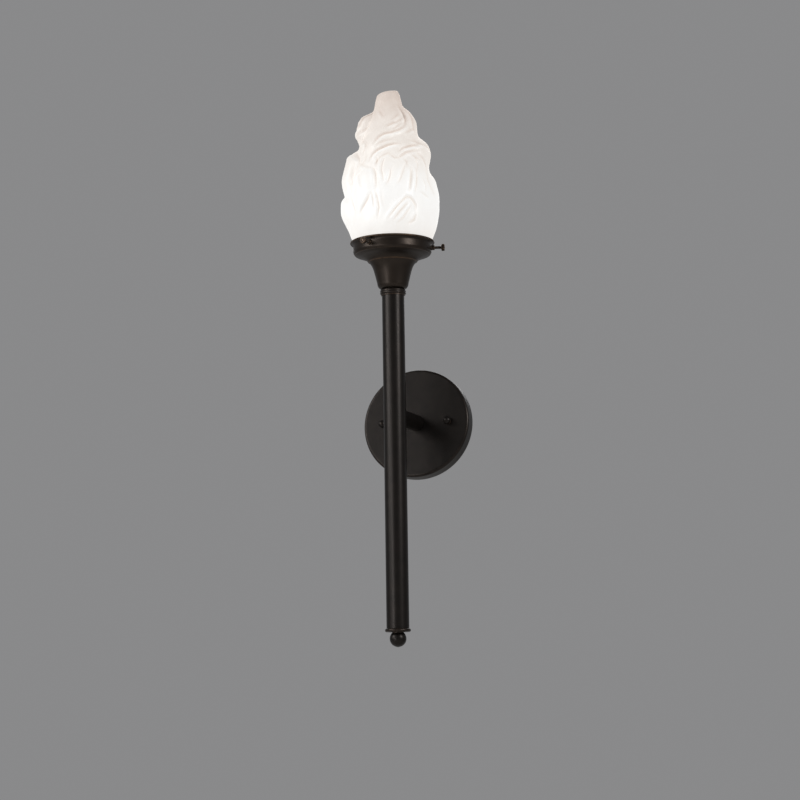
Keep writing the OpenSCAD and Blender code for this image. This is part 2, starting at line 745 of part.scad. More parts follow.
module flame_shade() {
  lip_h = 2.6;
  lip_round = 0.6;
  groove_top = -3.4;
  flare_out = 2;
  top_z = 0.965 * flame_h;
  neck = [
    ring_at(fitter_r - lip_round, -neck_len), ring_at(fitter_r, -neck_len + lip_round),
    ring_at(fitter_r, -neck_len + lip_h), ring_at(groove_r, -neck_len + lip_h + lip_round),
    ring_at(groove_r, groove_top), ring_at(groove_r + flare_out, groove_top / 2)
  ];
  body = [
    for (i = [0:flame_rings]) let (z = top_z * i / flame_rings) [for (p = carved_ring(z)) shifted(p, sway(z))]
  ];
  crown_z = carved_ring(top_z);
  crown = [
    for (s = CROWN)
      [for (p = crown_z) shifted([p.x * s[0], p.y * s[0], top_z + (flame_h - top_z) * s[1]], s[2])]
  ];
  inner_rings = 12;
  inner_top = 0.955 * flame_h - glass_wall;
  inner_tip_r = 2;
  inner = [
    for (i = [inner_rings:-1:0])
      let (
        z = inner_top * pow(i / inner_rings, 0.9),
        r = min(core(z), core(z + glass_wall) + 0.2 * glass_wall) - glass_wall
      )
      ring_at(i == inner_rings ? inner_tip_r : r, z)
  ];
  throat = [ring_at(groove_r - glass_wall, groove_top), ring_at(groove_r - glass_wall, -neck_len)];
  rings = concat(neck, body, crown, inner, throat);
  last_outer = len(neck) + len(body) + len(crown) - 1;
  n = flame_sides;
  band = function (i, j) [
    for (k = [0:n - 1]) let (l = (k + 1) % n) each [
      [i * n + k, j * n + k, j * n + l], [i * n + k, j * n + l, i * n + l]
    ]
  ];
  disc = function (i, flip) [
    for (k = [1:n - 2]) flip ? [i * n, i * n + k + 1, i * n + k] : [i * n, i * n + k, i * n + k + 1]
  ];
  faces = concat(
    [for (i = [0:last_outer - 1]) each band(i, i + 1)],
    disc(last_outer, true),
    disc(last_outer + 1, false),
    [for (i = [last_outer + 1:len(rings) - 2]) each band(i, i + 1)],
    band(len(rings) - 1, 0)
  );
  color(frosted) on_torch() translate([0, 0, z_rim])
    polyhedron(points = [for (r = rings) each r], faces = faces);
}

// ---------------------------------------------------------------- leads

function unit(v) = v / norm(v);
function along(path, i) = unit(path[min(i + 1, len(path) - 1)] - path[max(i - 1, 0)]);
module lead(path) {
  n = lead_sides;
  count = len(path);
  points = [
    for (i = [0:count - 1]) let (t = along(path, i), u = unit(cross(t, [1, 0, 0])), v = cross(t, u))
      for (k = [0:n - 1]) path[i] + lead_d / 2 * (cos(360 * k / n) * u + sin(360 * k / n) * v)
  ];
  sides = [
    for (i = [0:count - 2], k = [0:n - 1]) let (l = (k + 1) % n) each [
      [i * n + k, (i + 1) * n + k, (i + 1) * n + l], [i * n + k, (i + 1) * n + l, i * n + l]
    ]
  ];
  polyhedron(points = points, faces = concat(
    sides, [[for (k = [0:n - 1]) k]], [[for (k = [n - 1:-1:0]) (count - 1) * n + k]]
  ));
}

// Where the pipe ends behind the canopy, and the hand-chosen way from there to a wire connector
way_out = from_arm([0, s_pipe, 0]);
WAY = [
  [0.2, 1.6, 0.2], [1.25, 3.0, 1.2], [3.2, 3.5, 2.9], [6.3, 3.2, 5.5], [9.8, 2.0, 8.4],
  [13.3, 0.4, 11.4], [16.3, -0.5, 13.9], [19.3, -0.65, 16.4]
];
CONNECTOR_AT = [19.3, -0.65, 16.4];
connector_tilt = 50;
grip = 9;
function connector_dir(side) = [side * sin(connector_tilt), 0, cos(connector_tilt)];
function connector_mouth(side) = way_out + [side * (lead_x + CONNECTOR_AT.x), CONNECTOR_AT.y, CONNECTOR_AT.z];
below_body = z_socket + body_z - 1;
above_boss = z_socket + boss_h;
function mains_path(side) = concat(
  [from_torch([side * hole_x, 0, z_socket + body_z + lead_seat]), from_torch([side * hole_x, 0, below_body])],
  [
    for (i = [1:turn_steps])
      let (t = i / turn_steps, x = hole_x + (lead_x - hole_x) * smooth(t))
      from_torch([side * x, 0, below_body + (above_boss - below_body) * t])
  ],
  [
    for (i = [0:turn_steps])
      let (a = 90 * i / turn_steps)
      from_torch([side * lead_x, core_r * (1 - cos(a)), core_r * (1 - sin(a))])
  ],
  [from_torch([side * lead_x, arm_reach + s_pipe, 0])],
  [for (p = WAY) way_out + [side * (lead_x + p.x), p.y, p.z]],
  [connector_mouth(side) + grip * connector_dir(side)]
);

module hot_lead() {
  color(black_plastic) lead(mains_path(-1));
}

module neutral_lead() {
  color(ceramic) lead(mains_path(1));
}

// The earth lead runs from the ring on the pipe to the green screw on the plate
module ground_lead() {
  tab_lap = 2;
  screw_lap = 3;
  bend = 2.5;
  tab_end = from_arm([0, s_ring - ring_t - lead_d / 2 - fit_gap, -ground_tab + fit_gap]);
  screw_side = [0, -plate_t - lead_d / 2 - fit_gap, ground_z + ground_d / 2 + fit_gap];
  slack = (tab_end + screw_side) / 2;
  color(ground_color) lead([
    tab_end + [0, 0, tab_lap], tab_end, tab_end + [0, bend / 4, -bend], slack,
    screw_side + [0, -bend / 4, 2 * bend], screw_side + [0, 0, screw_lap], screw_side
  ]);
}

module connector(side) {
  mouth_r = connector_d / 2;
  shoulder_r = mouth_r * 0.72;
  tip_r = mouth_r * 0.4;
  tip_h = 3;
  translate(connector_mouth(side)) rotate([0, side * connector_tilt, 0]) difference() {
    union() {
      cylinder(r1 = mouth_r, r2 = shoulder_r, h = connector_len - tip_h);
      translate([0, 0, connector_len - tip_h]) cylinder(r1 = shoulder_r, r2 = tip_r, h = tip_h);
    }
    translate([0, 0, -past]) cylinder(r = lead_d / 2 + 2 * fit_gap, h = grip + past + fit_gap);
  }
}

module hot_connector() {
  color(orange) connector(-1);
}

module neutral_connector() {
  color(orange) connector(1);
}

// ---------------------------------------------------------------- the nodes

canopy();
mounting_plate();
canopy_stud(-1);  // canopy_stud_left
canopy_stud(1);  // canopy_stud_right
stud_nut(-1);  // stud_nut_left
stud_nut(1);  // stud_nut_right
ball_nut(-1);  // ball_nut_left
ball_nut(1);  // ball_nut_right
ground_screw();
ground_ring();
ground_lead();
arm_tube();
arm_pipe();
tilt_washer();
canopy_lock_washer();
canopy_nut();
torch_tube();
tee_block();
upper_pipe();
lower_rod();
neck_ring();
bottom_disc();
finial();
trumpet_bell();
shade_cup();
cup_washer();
cup_nut();
screw_boss(1);  // screw_boss_1
screw_boss(2);  // screw_boss_2
screw_boss(3);  // screw_boss_3
thumbscrew_shank(1);  // thumbscrew_shank_1
thumbscrew_shank(2);  // thumbscrew_shank_2
thumbscrew_shank(3);  // thumbscrew_shank_3
thumbscrew_knob(1);  // thumbscrew_knob_1
thumbscrew_knob(2);  // thumbscrew_knob_2
thumbscrew_knob(3);  // thumbscrew_knob_3
socket_cap();
socket_body();
socket_shell();
screw_shell();
centre_contact();
terminal_screw(-1);  // terminal_screw_hot
terminal_screw(1);  // terminal_screw_neutral
bulb_contact();
bulb_insulator();
bulb_cap();
bulb_glass();
bulb_stem();
bulb_filament();
flame_shade();
hot_lead();
neutral_lead();
hot_connector();
neutral_connector();
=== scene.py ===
"""Torch sconce: the looks of a wall light shaped like a torch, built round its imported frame.

Every piece is made in millimetres in the place where the maker would draw it (on the arm's axis, on the
torch's axis, on the lamp's) and is then set into the row frame, which is in metres: +X right, -Y out of
the wall, +Z up, with the origin in the middle of the canopy on the wall.
"""

import json
import logging
import math
from dataclasses import dataclass, field
from enum import Enum
from typing import Callable, Sequence

import bmesh
import bpy
import numpy as np
from mathutils import Matrix, Vector

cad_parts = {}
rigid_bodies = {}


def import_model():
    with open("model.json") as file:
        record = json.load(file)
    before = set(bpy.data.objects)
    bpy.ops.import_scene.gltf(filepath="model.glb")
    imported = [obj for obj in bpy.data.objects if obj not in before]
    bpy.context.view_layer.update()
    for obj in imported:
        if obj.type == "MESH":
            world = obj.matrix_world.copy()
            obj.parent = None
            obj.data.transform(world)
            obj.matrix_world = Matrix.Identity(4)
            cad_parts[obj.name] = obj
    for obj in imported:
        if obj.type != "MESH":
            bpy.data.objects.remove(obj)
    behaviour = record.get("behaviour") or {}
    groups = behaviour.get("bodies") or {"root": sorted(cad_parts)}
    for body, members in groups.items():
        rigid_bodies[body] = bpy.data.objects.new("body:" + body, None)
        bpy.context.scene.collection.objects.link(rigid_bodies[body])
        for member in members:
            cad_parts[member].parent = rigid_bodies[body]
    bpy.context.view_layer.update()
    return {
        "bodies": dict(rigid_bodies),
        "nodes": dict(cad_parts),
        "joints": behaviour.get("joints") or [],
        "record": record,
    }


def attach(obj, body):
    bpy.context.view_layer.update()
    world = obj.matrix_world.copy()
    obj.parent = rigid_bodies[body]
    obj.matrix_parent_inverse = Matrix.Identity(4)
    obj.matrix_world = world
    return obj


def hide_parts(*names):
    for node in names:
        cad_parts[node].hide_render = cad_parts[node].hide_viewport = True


LOG = logging.getLogger("torch_sconce")
MM = 0.001
FIT = 0.05  # clearance in millimetres between a thread or a rod and its hole
Outline = list[tuple[float, float]]
Colour = tuple[float, float, float]
Value = float | Colour | bpy.types.NodeSocket
Carving = Callable[[float, float, float], float]


class Body(Enum):
    """The bodies that more than one piece rides on."""

    FIXTURE = "fixture"
    LAMP = "bulb"


# ------------------------------------------------------------------------------------------ places


@dataclass(frozen=True)
class Places:
    """Where the sconce's axes stand. Lengths are in millimetres.

    Attributes:
        lean: angle in degrees by which the arm droops and the torch leans out.
        canopy_depth: distance from the wall to the canopy's face.
        arm_reach: length along the arm from the canopy's face to the torch's axis.
    """

    lean: float = 6.2
    canopy_depth: float = 17.0
    arm_reach: float = 73.4

    def wall(self) -> Matrix:
        """Returns the frame of the wall, in metres."""
        return Matrix.Scale(MM, 4)

    def out_of_wall(self) -> Matrix:
        """Returns a frame on the wall whose +Z points into the room."""
        return self.wall() @ Matrix.Rotation(math.radians(90), 4, "X")

    def arm(self) -> Matrix:
        """Returns the arm's frame: its -Y runs down the arm, from the canopy's face."""
        drop = Matrix.Translation((0, -self.canopy_depth, 0))
        return self.wall() @ drop @ Matrix.Rotation(math.radians(self.lean), 4, "X")

    def torch(self, height: float = 0.0) -> Matrix:
        """Returns the torch's frame, whose +Z runs up the torch.

        Args:
            height: height of the frame's origin above the arm's centre line.
        """
        return self.arm() @ Matrix.Translation((0, -self.arm_reach, height))

    def shade_screw(self, number: int, turn: float, height: float) -> Matrix:
        """Returns a frame on the torch's axis whose +Z runs out along one shade screw.

        Args:
            number: 1, 2 or 3.
            turn: turn of the first screw about the torch, in degrees.
            height: height of the screws above the arm's centre line.
        """
        spin = Matrix.Rotation(math.radians(turn + 120 * (number - 1)), 4, "Z")
        return self.torch(height) @ spin @ Matrix.Rotation(math.radians(90), 4, "Y")


# ---------------------------------------------------------------------------------------- mesh work


def mesh_object(name: str, bm: bmesh.types.BMesh, place: Matrix,
                crease_deg: float = 38.0) -> bpy.types.Object:
    """Turns a bmesh into a smooth-shaded object with hard edges where the surface folds.

    Args:
        name: the piece's name.
        bm: the shape in millimetres; it is freed.
        place: the frame that the shape was drawn in.
        crease_deg: an edge whose faces meet at more than this angle is shaded hard.

    Returns:
        The linked object, whose vertices are in the row frame.
    """
    bmesh.ops.remove_doubles(bm, verts=bm.verts, dist=1e-5)
    for face in bm.faces:
        face.smooth = True
    for edge in bm.edges:
        edge.smooth = edge.calc_face_angle(0.0) < math.radians(crease_deg)
    data = bpy.data.meshes.new(name)
    bm.to_mesh(data)
    bm.free()
    data.transform(place)
    piece = bpy.data.objects.new(name, data)
    bpy.context.scene.collection.objects.link(piece)
    return piece


def arc(centre: tuple[float, float], radius: float, start: float, end: float, steps: int = 8) -> Outline:
    """Returns points on an arc of an outline.

    Args:
        centre: the arc's centre as (radius, height).
        radius: the arc's radius.
        start: angle of the first point, in degrees from +radius towards +height.
        end: angle of the last point.
        steps: number of chords.
    """
    turns = [math.radians(start + (end - start) * i / steps) for i in range(steps + 1)]
    return [(centre[0] + radius * math.cos(t), centre[1] + radius * math.sin(t)) for t in turns]


def flowing(points: Outline, steps: int = 6) -> Outline:
    """Returns a smooth curve through an outline's points (Catmull-Rom).

    Args:
        points: the points to pass through.
        steps: chords between two points.
    """
    padded = [points[0], *points, points[-1]]
    curve: Outline = []
    for a, b, c, d in zip(padded, padded[1:], padded[2:], padded[3:]):
        for i in range(steps):
            t = i / steps
            curve.append(tuple(
                0.5 * (2 * b[k] + (c[k] - a[k]) * t + (2 * a[k] - 5 * b[k] + 4 * c[k] - d[k]) * t * t
                       + (3 * b[k] - a[k] - 3 * c[k] + d[k]) * t ** 3) for k in (0, 1)))
    return [*curve, points[-1]]


def inset(outline: Outline, depth: float) -> Outline:
    """Returns an open outline moved sideways, towards its left, by a sheet's thickness."""
    moved: Outline = []
    for i, (r, z) in enumerate(outline):
        before, after = outline[max(i - 1, 0)], outline[min(i + 1, len(outline) - 1)]
        dr, dz = after[0] - before[0], after[1] - before[1]
        length = math.hypot(dr, dz) or 1.0
        moved.append((r - dz / length * depth, z + dr / length * depth))
    return moved


def eased_ends(outline: Outline, near: float = 0.8) -> Outline:
    """Returns a closed outline with points added close to the ends of its long sides.

    Args:
        outline: the closed outline.
        near: distance of the added points from the ends.
    """
    full: Outline = []
    for (r, z), (r2, z2) in zip(outline, [*outline[1:], outline[0]]):
        full.append((r, z))
        length = math.hypot(r2 - r, z2 - z)
        if length > 4 * near and r > 1e-3 and r2 > 1e-3:
            for t in (near / length, 1 - near / length):
                full.append((r + (r2 - r) * t, z + (z2 - z) * t))
    return full


def outward(outline: Outline) -> Outline:
    """Returns a closed outline that runs counter-clockwise, so that the faces spun from it look outwards."""
    area = sum(a[0] * b[1] - b[0] * a[1] for a, b in zip(outline, [*outline[1:], outline[0]]))
    return outline if area > 0 else outline[::-1]


def rubbing(outline: Outline) -> list[float]:
    """Returns how much each point of a closed outline would be rubbed: 1 on a sharp outer edge, 0 on a flat.

    Args:
        outline: the closed outline, counter-clockwise.
    """
    count = len(outline)
    rubbed = []
    for i, here in enumerate(outline):
        before, after = outline[i - 1], outline[(i + 1) % count]
        into = (here[0] - before[0], here[1] - before[1])
        out = (after[0] - here[0], after[1] - here[1])
        reach = min(1.2, max(0.3, (math.hypot(*into) + math.hypot(*out)) / 2))
        bend = math.atan2(into[0] * out[1] - into[1] * out[0], into[0] * out[0] + into[1] * out[1])
        rubbed.append(min(1.0, max(0.0, bend / reach * 0.45)))
    return rubbed


def lathe(name: str, outline: Outline, place: Matrix, sides: int = 128, radius: Carving | None = None,
          crease_deg: float = 38.0) -> bpy.types.Object:
    """Spins a closed outline about an axis.

    Args:
        name: the piece's name.
        outline: closed outline as (radius, height) points; a radius under 0.001 is a pole.
        place: the frame whose +Z is the axis.
        sides: number of facets round the axis.
        radius: optional function of (radius, height, turn in radians) that gives the carved radius.
        crease_deg: an edge that folds by more than this is shaded hard.

    Returns:
        The linked object.
    """
    outline = eased_ends(outward(outline))
    bm = bmesh.new()
    wear = bm.verts.layers.float.new("wear")
    loops: list[list[bmesh.types.BMVert]] = []
    for r, z in outline:
        if r < 1e-3:
            loops.append([bm.verts.new((0, 0, z))])
            continue
        ring = []
        for k in range(sides):
            turn = 2 * math.pi * k / sides
            carved = radius(r, z, turn) if radius else r
            ring.append(bm.verts.new((carved * math.cos(turn), carved * math.sin(turn), z)))
        loops.append(ring)
    for ring, rubbed in zip(loops, rubbing(outline)):
        for vert in ring:
            vert[wear] = rubbed
    for low, high in zip(loops, [*loops[1:], loops[0]]):
        if len(low) == 1 and len(high) == 1:
            continue
        for k in range(sides):
            below = [low[k % len(low)], low[(k + 1) % len(low)]]
            above = [high[(k + 1) % len(high)], high[k % len(high)]]
            bm.faces.new(list(dict.fromkeys(below + above)))
    return mesh_object(name, bm, place, crease_deg)


def sweep(name: str, path: Sequence[Vector], radius: float, place: Matrix, sides: int) -> bpy.types.Object:
    """Makes a round rod along a path.

    Args:
        name: the piece's name.
        path: the points that the rod's middle follows, in millimetres.
        radius: the rod's radius.
        place: the frame that the path is drawn in.
        sides: number of facets round the rod.
    """
    bm = bmesh.new()
    side = Vector((1, 0, 0))
    rings = []
    for i, point in enumerate(path):
        along = (path[min(i + 1, len(path) - 1)] - path[max(i - 1, 0)]).normalized()
        side = (side - along * side.dot(along)).normalized()
        other = along.cross(side)
        turns = [2 * math.pi * k / sides for k in range(sides)]
        corners = [point + radius * (math.cos(t) * side + math.sin(t) * other) for t in turns]
        rings.append([bm.verts.new(corner) for corner in corners])
    for low, high in zip(rings, rings[1:]):
        for k in range(sides):
            bm.faces.new((low[k], low[(k + 1) % sides], high[(k + 1) % sides], high[k]))
    bm.faces.new(rings[0][::-1])
    bm.faces.new(rings[-1])
    return mesh_object(name, bm, place, 60.0)


def thread(pitch: float, depth: float, start: float, end: float) -> Carving:
    """Returns a carving function that cuts a screw thread between two heights.

    Args:
        pitch: rise of the thread in one turn.
        depth: depth of the thread's groove.
        start: height where the thread begins.
        end: height where it ends.
    """

    def carve(r: float, z: float, turn: float) -> float:
        """Returns the radius with the thread's groove cut into it.

        Args:
            r: the radius of the plain outline.
            z: the height.
            turn: the angle round the axis, in radians.
        """
        if z <= start or z >= end:
            return r
        phase = (z / pitch - turn / (2 * math.pi)) % 1.0
        fade = min(1.0, (z - start) / pitch, (end - z) / pitch)
        return r - depth * fade * (0.5 - 0.5 * math.cos(2 * math.pi * phase))

    return carve


def rungs(start: float, end: float, step: float) -> list[float]:
    """Returns evenly spaced heights from start to end, no further apart than step."""
    count = max(1, math.ceil((end - start) / step))
    return [start + (end - start) * i / count for i in range(count + 1)]


# ----------------------------------------------------------------------------------------- finishes


class Recipe:
    """A node material in the making, with one principled shader.

    Attributes:
        material: the material.
        shader: its shader.
    """

    def __init__(self, name: str, inputs: dict[str, Value]) -> None:
        """Starts a material.

        Args:
            name: the material's name.
            inputs: what the shader's sockets hold all over the surface.
        """
        self.material = bpy.data.materials.new(name)
        self.material.use_nodes = True
        self.nodes, self.links = self.material.node_tree.nodes, self.material.node_tree.links
        self.shader = self.nodes["Principled BSDF"]
        self.fill(self.shader, inputs)
        self.place = self.node("TexCoord", {}).outputs["Object"]

    def fill(self, node: bpy.types.Node, inputs: dict[str | int, Value]) -> None:
        """Sets a node's inputs.

        Args:
            node: the node.
            inputs: a number, a colour, or the socket that the input is joined to.
        """
        for name, value in inputs.items():
            if isinstance(value, bpy.types.NodeSocket):
                self.links.new(value, node.inputs[name])
            else:
                node.inputs[name].default_value = (*value, 1) if isinstance(value, tuple) else value

    def node(self, kind: str, inputs: dict[str | int, Value], **settings: str) -> bpy.types.Node:
        """Adds a node.

        Args:
            kind: the node's kind, as in Blender's name for it after "ShaderNode".
            inputs: what its inputs hold.
            settings: its other settings.
        """
        made = self.nodes.new(f"ShaderNode{kind}")
        for name, value in settings.items():
            setattr(made, name, value)
        self.fill(made, inputs)
        return made

    def noise(self, scale: float, detail: float) -> bpy.types.NodeSocket:
        """Returns a noise in the object's own space.

        Args:
            scale: waves per metre.
            detail: octaves.
        """
        return self.node("TexNoise", {"Scale": scale, "Detail": detail, "Vector": self.place}).outputs["Fac"]

    def spread(self, value: bpy.types.NodeSocket, low: float, high: float, start: float = 0.0,
               end: float = 1.0) -> bpy.types.NodeSocket:
        """Returns a value stretched from one range to another.

        Args:
            value: the value.
            low: what it becomes at start.
            high: what it becomes at end.
            start: lower end of the value's own range.
            end: upper end of that range.
        """
        inputs = {"Value": value, "From Min": start, "From Max": end, "To Min": low, "To Max": high}
        return self.node("MapRange", inputs).outputs["Result"]

    def mix(self, share: bpy.types.NodeSocket, first: Value, second: Value) -> bpy.types.NodeSocket:
        """Returns a mix of two colours.

        Args:
            share: share of the second colour.
            first: the first colour.
            second: the second colour.
        """
        return self.node("Mix", {0: share, 6: first, 7: second}, data_type="RGBA").outputs[2]

    def bump(self, strength: float, distance: float, height: bpy.types.NodeSocket) -> None:
        """Gives the shader a relief.

        Args:
            strength: strength of the relief.
            distance: its depth in metres.
            height: its height, from 0 to 1.
        """
        relief = self.node("Bump", {"Strength": strength, "Distance": distance, "Height": height})
        self.fill(self.shader, {"Normal": relief.outputs["Normal"]})


@dataclass(frozen=True)
class Finish:
    """A plain finish: a colour with slow variation, a roughness and a fine surface grain.

    Attributes:
        name: the material's name.
        slot: the record's material slot that it stands for; not used.
        colour: main colour.
        shade: second colour, mixed in by a slow noise.
        roughness: middle of the roughness.
        metallic: how metallic it is.
        grain_scale: scale of the fine bump, in waves per metre.
        grain: strength of the fine bump.
        coat: weight of a clear coat.
        specular: level of the mirror part.
        play: how far the roughness strays from its middle.
        grain_depth: depth of the fine bump in metres.
    """

    name: str
    slot: str
    colour: Colour
    shade: Colour
    roughness: float
    metallic: float = 0.0
    grain_scale: float = 1500.0
    grain: float = 0.08
    coat: float = 0.0
    specular: float = 0.5
    play: float = 0.07
    grain_depth: float = 0.0002

    def make(self) -> bpy.types.Material:
        """Builds the material."""
        recipe = Recipe(self.name, {
            "Metallic": self.metallic, "Specular IOR Level": self.specular, "Coat Weight": self.coat})
        colour = self.tint(recipe, recipe.mix(recipe.noise(90.0, 3.0), self.colour, self.shade))
        smooth, dull = max(0.02, self.roughness - self.play), min(1.0, self.roughness + self.play)
        rough = recipe.spread(recipe.noise(260.0, 4.0), smooth, dull)
        recipe.fill(recipe.shader, {"Base Color": colour, "Roughness": rough})
        recipe.bump(self.grain, self.grain_depth, recipe.noise(self.grain_scale, 2.0))
        return recipe.material

    def tint(self, recipe: Recipe, colour: bpy.types.NodeSocket) -> bpy.types.NodeSocket:
        """Returns the colour that reaches the shader.

        Args:
            recipe: the material in the making; not used.
            colour: the finish's mixed colour.
        """
        return colour


@dataclass(frozen=True)
class RubbedBronze(Finish):
    """Oil-rubbed bronze: near black, with warm brown where hands and cloths have rubbed its edges.

    Attributes:
        rubbed: colour of the rubbed edges.
    """

    rubbed: Colour = (0.105, 0.066, 0.042)

    def tint(self, recipe: Recipe, colour: bpy.types.NodeSocket) -> bpy.types.NodeSocket:
        """Returns the colour, warmed in patches along the edges that the mesh's wear marks.

        Args:
            recipe: the material in the making.
            colour: the finish's mixed colour.
        """
        edge = recipe.node("Attribute", {}, attribute_name="wear").outputs["Fac"]
        patchy = recipe.node("Math", {0: edge, 1: recipe.noise(350.0, 3.0)}, operation="MULTIPLY")
        return recipe.mix(recipe.spread(patchy.outputs["Value"], 0.0, 0.65, 0.05, 0.5), colour, self.rubbed)


@dataclass(frozen=True)
class LitGlass:
    """Satin white glass lit from within: the lamp's light through it is painted on as a glow, whose strength
    the shade's maker paints on the mesh.

    Attributes:
        name: the material's name.
        slot: the record's material slot; not used.
        colour: the glass's own colour.
        glow: colour of the glow at each strength, as (strength, colour).
        edge: how much brighter the glow is painted where the glass is seen edge on.
        cloud: how far the glow strays in faint clouds.
        attribute: the mesh's float attribute that holds the glow.
    """

    name: str = "satin_white_glass"
    slot: str = "frosted_glass"
    colour: Colour = (0.28, 0.275, 0.27)
    glow: tuple[tuple[float, Colour], ...] = (
        (0.0, (0.0, 0.0, 0.0)), (0.38, (0.41, 0.325, 0.27)), (0.67, (0.57, 0.525, 0.48)),
        (1.0, (0.66, 0.66, 0.65)))
    edge: float = 0.22
    cloud: float = 0.07
    attribute: str = "glow"

    def make(self) -> bpy.types.Material:
        """Builds the material."""
        recipe = Recipe(self.name, {"Base Color": self.colour, "IOR": 1.5})
        painted = recipe.node("Attribute", {}, attribute_name=self.attribute).outputs["Fac"]
        cloudy = recipe.spread(recipe.noise(110.0, 4.0), -self.cloud, self.cloud)
        ramp = recipe.node("ValToRGB", {"Fac": recipe.node("Math", {0: painted, 1: cloudy}).outputs["Value"]})
        while len(ramp.color_ramp.elements) < len(self.glow):
            ramp.color_ramp.elements.new(0.5)
        for stop, (at, colour) in zip(ramp.color_ramp.elements, self.glow):
            stop.position = at
            stop.color = (*colour, 1)
        # Painted rim brightening: the glow is stronger where the glass is seen edge on.
        facing = recipe.node("LayerWeight", {"Blend": 0.25}).outputs["Facing"]
        recipe.fill(recipe.shader, {
            "Emission Color": ramp.outputs["Color"],
            "Emission Strength": recipe.spread(facing, 1.0, 1.0 + self.edge),
            "Roughness": recipe.spread(recipe.noise(140.0, 4.0), 0.38, 0.55)})
        recipe.bump(0.3, 0.0006, recipe.noise(190.0, 3.0))
        return recipe.material


@dataclass(frozen=True)
class ClearGlass:
    """Thin glass that light passes through.

    Attributes:
        name: the material's name.
        slot: the record's material slot; not used.
        colour: the glass's tint.
        roughness: how etched it is.
        transmission: share of light that passes.
        glow: colour of its own light.
        strength: strength of that light.
    """

    name: str
    slot: str
    colour: Colour
    roughness: float
    transmission: float = 0.9
    glow: Colour = (1.0, 0.85, 0.62)
    strength: float = 0.0

    def make(self) -> bpy.types.Material:
        """Builds the material."""
        recipe = Recipe(self.name, {
            "Base Color": self.colour, "Transmission Weight": self.transmission, "IOR": 1.48,
            "Emission Color": self.glow, "Emission Strength": self.strength})
        rough = recipe.spread(recipe.noise(300.0, 2.0), self.roughness, self.roughness + 0.08)
        recipe.fill(recipe.shader, {"Roughness": rough})
        return recipe.material


class Paint(Enum):
    """The finishes of the sconce."""

    BRONZE = RubbedBronze(
        "rubbed_bronze", "bronze", (0.0085, 0.0075, 0.0070), (0.018, 0.0145, 0.0125), 0.36, 0.70, 1900.0,
        0.16, specular=0.3)
    # A lighter, warmer copy of the bronze with brighter rubbed edges, for the holder near the shade: painted
    # warm light from the lamp.
    LAMPLIT_BRONZE = RubbedBronze(
        "lamplit_bronze", "bronze", (0.017, 0.0128, 0.0102), (0.028, 0.0205, 0.0155), 0.37, 0.70, 1900.0, 0.16,
        specular=0.3, rubbed=(0.15, 0.088, 0.05))
    ZINC = Finish("zinc_plate", "steel", (0.52, 0.53, 0.55), (0.62, 0.62, 0.60), 0.34, 1.0, 900.0, 0.10)
    BRASS = Finish("bare_brass", "brass", (0.74, 0.55, 0.26), (0.60, 0.43, 0.19), 0.30, 1.0, 1100.0, 0.08)
    GREEN = Finish(
        "green_earth", "ground_green", (0.035, 0.26, 0.09), (0.05, 0.32, 0.12), 0.42, 0.0, 900.0, 0.06)
    BLACK_WIRE = Finish(
        "black_insulation", "black_insulation", (0.018, 0.018, 0.020), (0.03, 0.03, 0.032), 0.48)
    WHITE_WIRE = Finish(
        "white_insulation", "white_insulation", (0.80, 0.79, 0.75), (0.72, 0.71, 0.67), 0.45)
    CERAMIC = Finish(
        "glazed_ceramic", "socket_ceramic", (0.82, 0.81, 0.77), (0.76, 0.74, 0.70), 0.22, 0.0, 500.0, 0.05,
        coat=0.4)
    ORANGE = Finish(
        "orange_cap", "connector_orange", (0.76, 0.24, 0.035), (0.66, 0.20, 0.03), 0.38, 0.0, 800.0, 0.05)
    ALUMINIUM = Finish(
        "lamp_cap", "cap_aluminium", (0.72, 0.72, 0.73), (0.80, 0.80, 0.80), 0.28, 1.0, 700.0, 0.08)
    SOLDER = Finish("solder", "solder", (0.55, 0.55, 0.54), (0.42, 0.42, 0.42), 0.38, 1.0, 500.0, 0.3)
    BLACK_GLASS = Finish(
        "black_glass", "cap_insulator", (0.02, 0.02, 0.022), (0.03, 0.03, 0.03), 0.12, 0.0, 600.0, 0.03)
    TUNGSTEN = Finish("tungsten", "tungsten", (0.42, 0.36, 0.30), (0.5, 0.42, 0.34), 0.35, 1.0, 900.0, 0.05)
    BULB_GLASS = ClearGlass(
        "lamp_glass", "bulb_glass", (0.98, 0.95, 0.88), 0.30, 0.35, (1.0, 0.84, 0.58), 2.4)
    STEM_GLASS = ClearGlass("stem_glass", "stem_glass", (0.92, 0.95, 0.95), 0.05)
    SATIN_GLASS = LitGlass()


class Paintbox:
    """Makes each finish once and puts it on pieces and on nodes of the frame."""

    def __init__(self, frame: dict) -> None:
        """Args:
        """
        self.frame = frame
        self.made: dict[Paint, bpy.types.Material] = {}

    def of(self, paint: Paint) -> bpy.types.Material:
        """Returns the finish's material."""
        if paint not in self.made:
            self.made[paint] = paint.value.make()
        return self.made[paint]

    def piece(self, made: bpy.types.Object, paint: Paint, node: str, body: str = Body.FIXTURE.value) -> None:
        """Finishes a new piece and sets it in place of a node of the frame.

        Args:
            made: the new piece.
            paint: its finish.
            node: the node that it stands for.
            body: the body that it rides on.
        """
        made.data.materials.append(self.of(paint))
        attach(made, body)
        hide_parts(node)
        LOG.info("made %s for %s, %d faces", made.name, node, len(made.data.polygons))

    def node(self, paint: Paint, *names: str) -> None:
        """Finishes nodes of the frame that keep their own shape.

        Args:
            paint: the finish.
            names: the nodes.
        """
        for name in names:
            kept = self.frame["nodes"][name]
            if not kept.material_slots:
                kept.data.materials.append(None)
            for slot in kept.material_slots:
                slot.material = self.of(paint)
            LOG.info("finished %s with %s", name, paint.value.name)


# --------------------------------------------------------------------------------------- assemblies


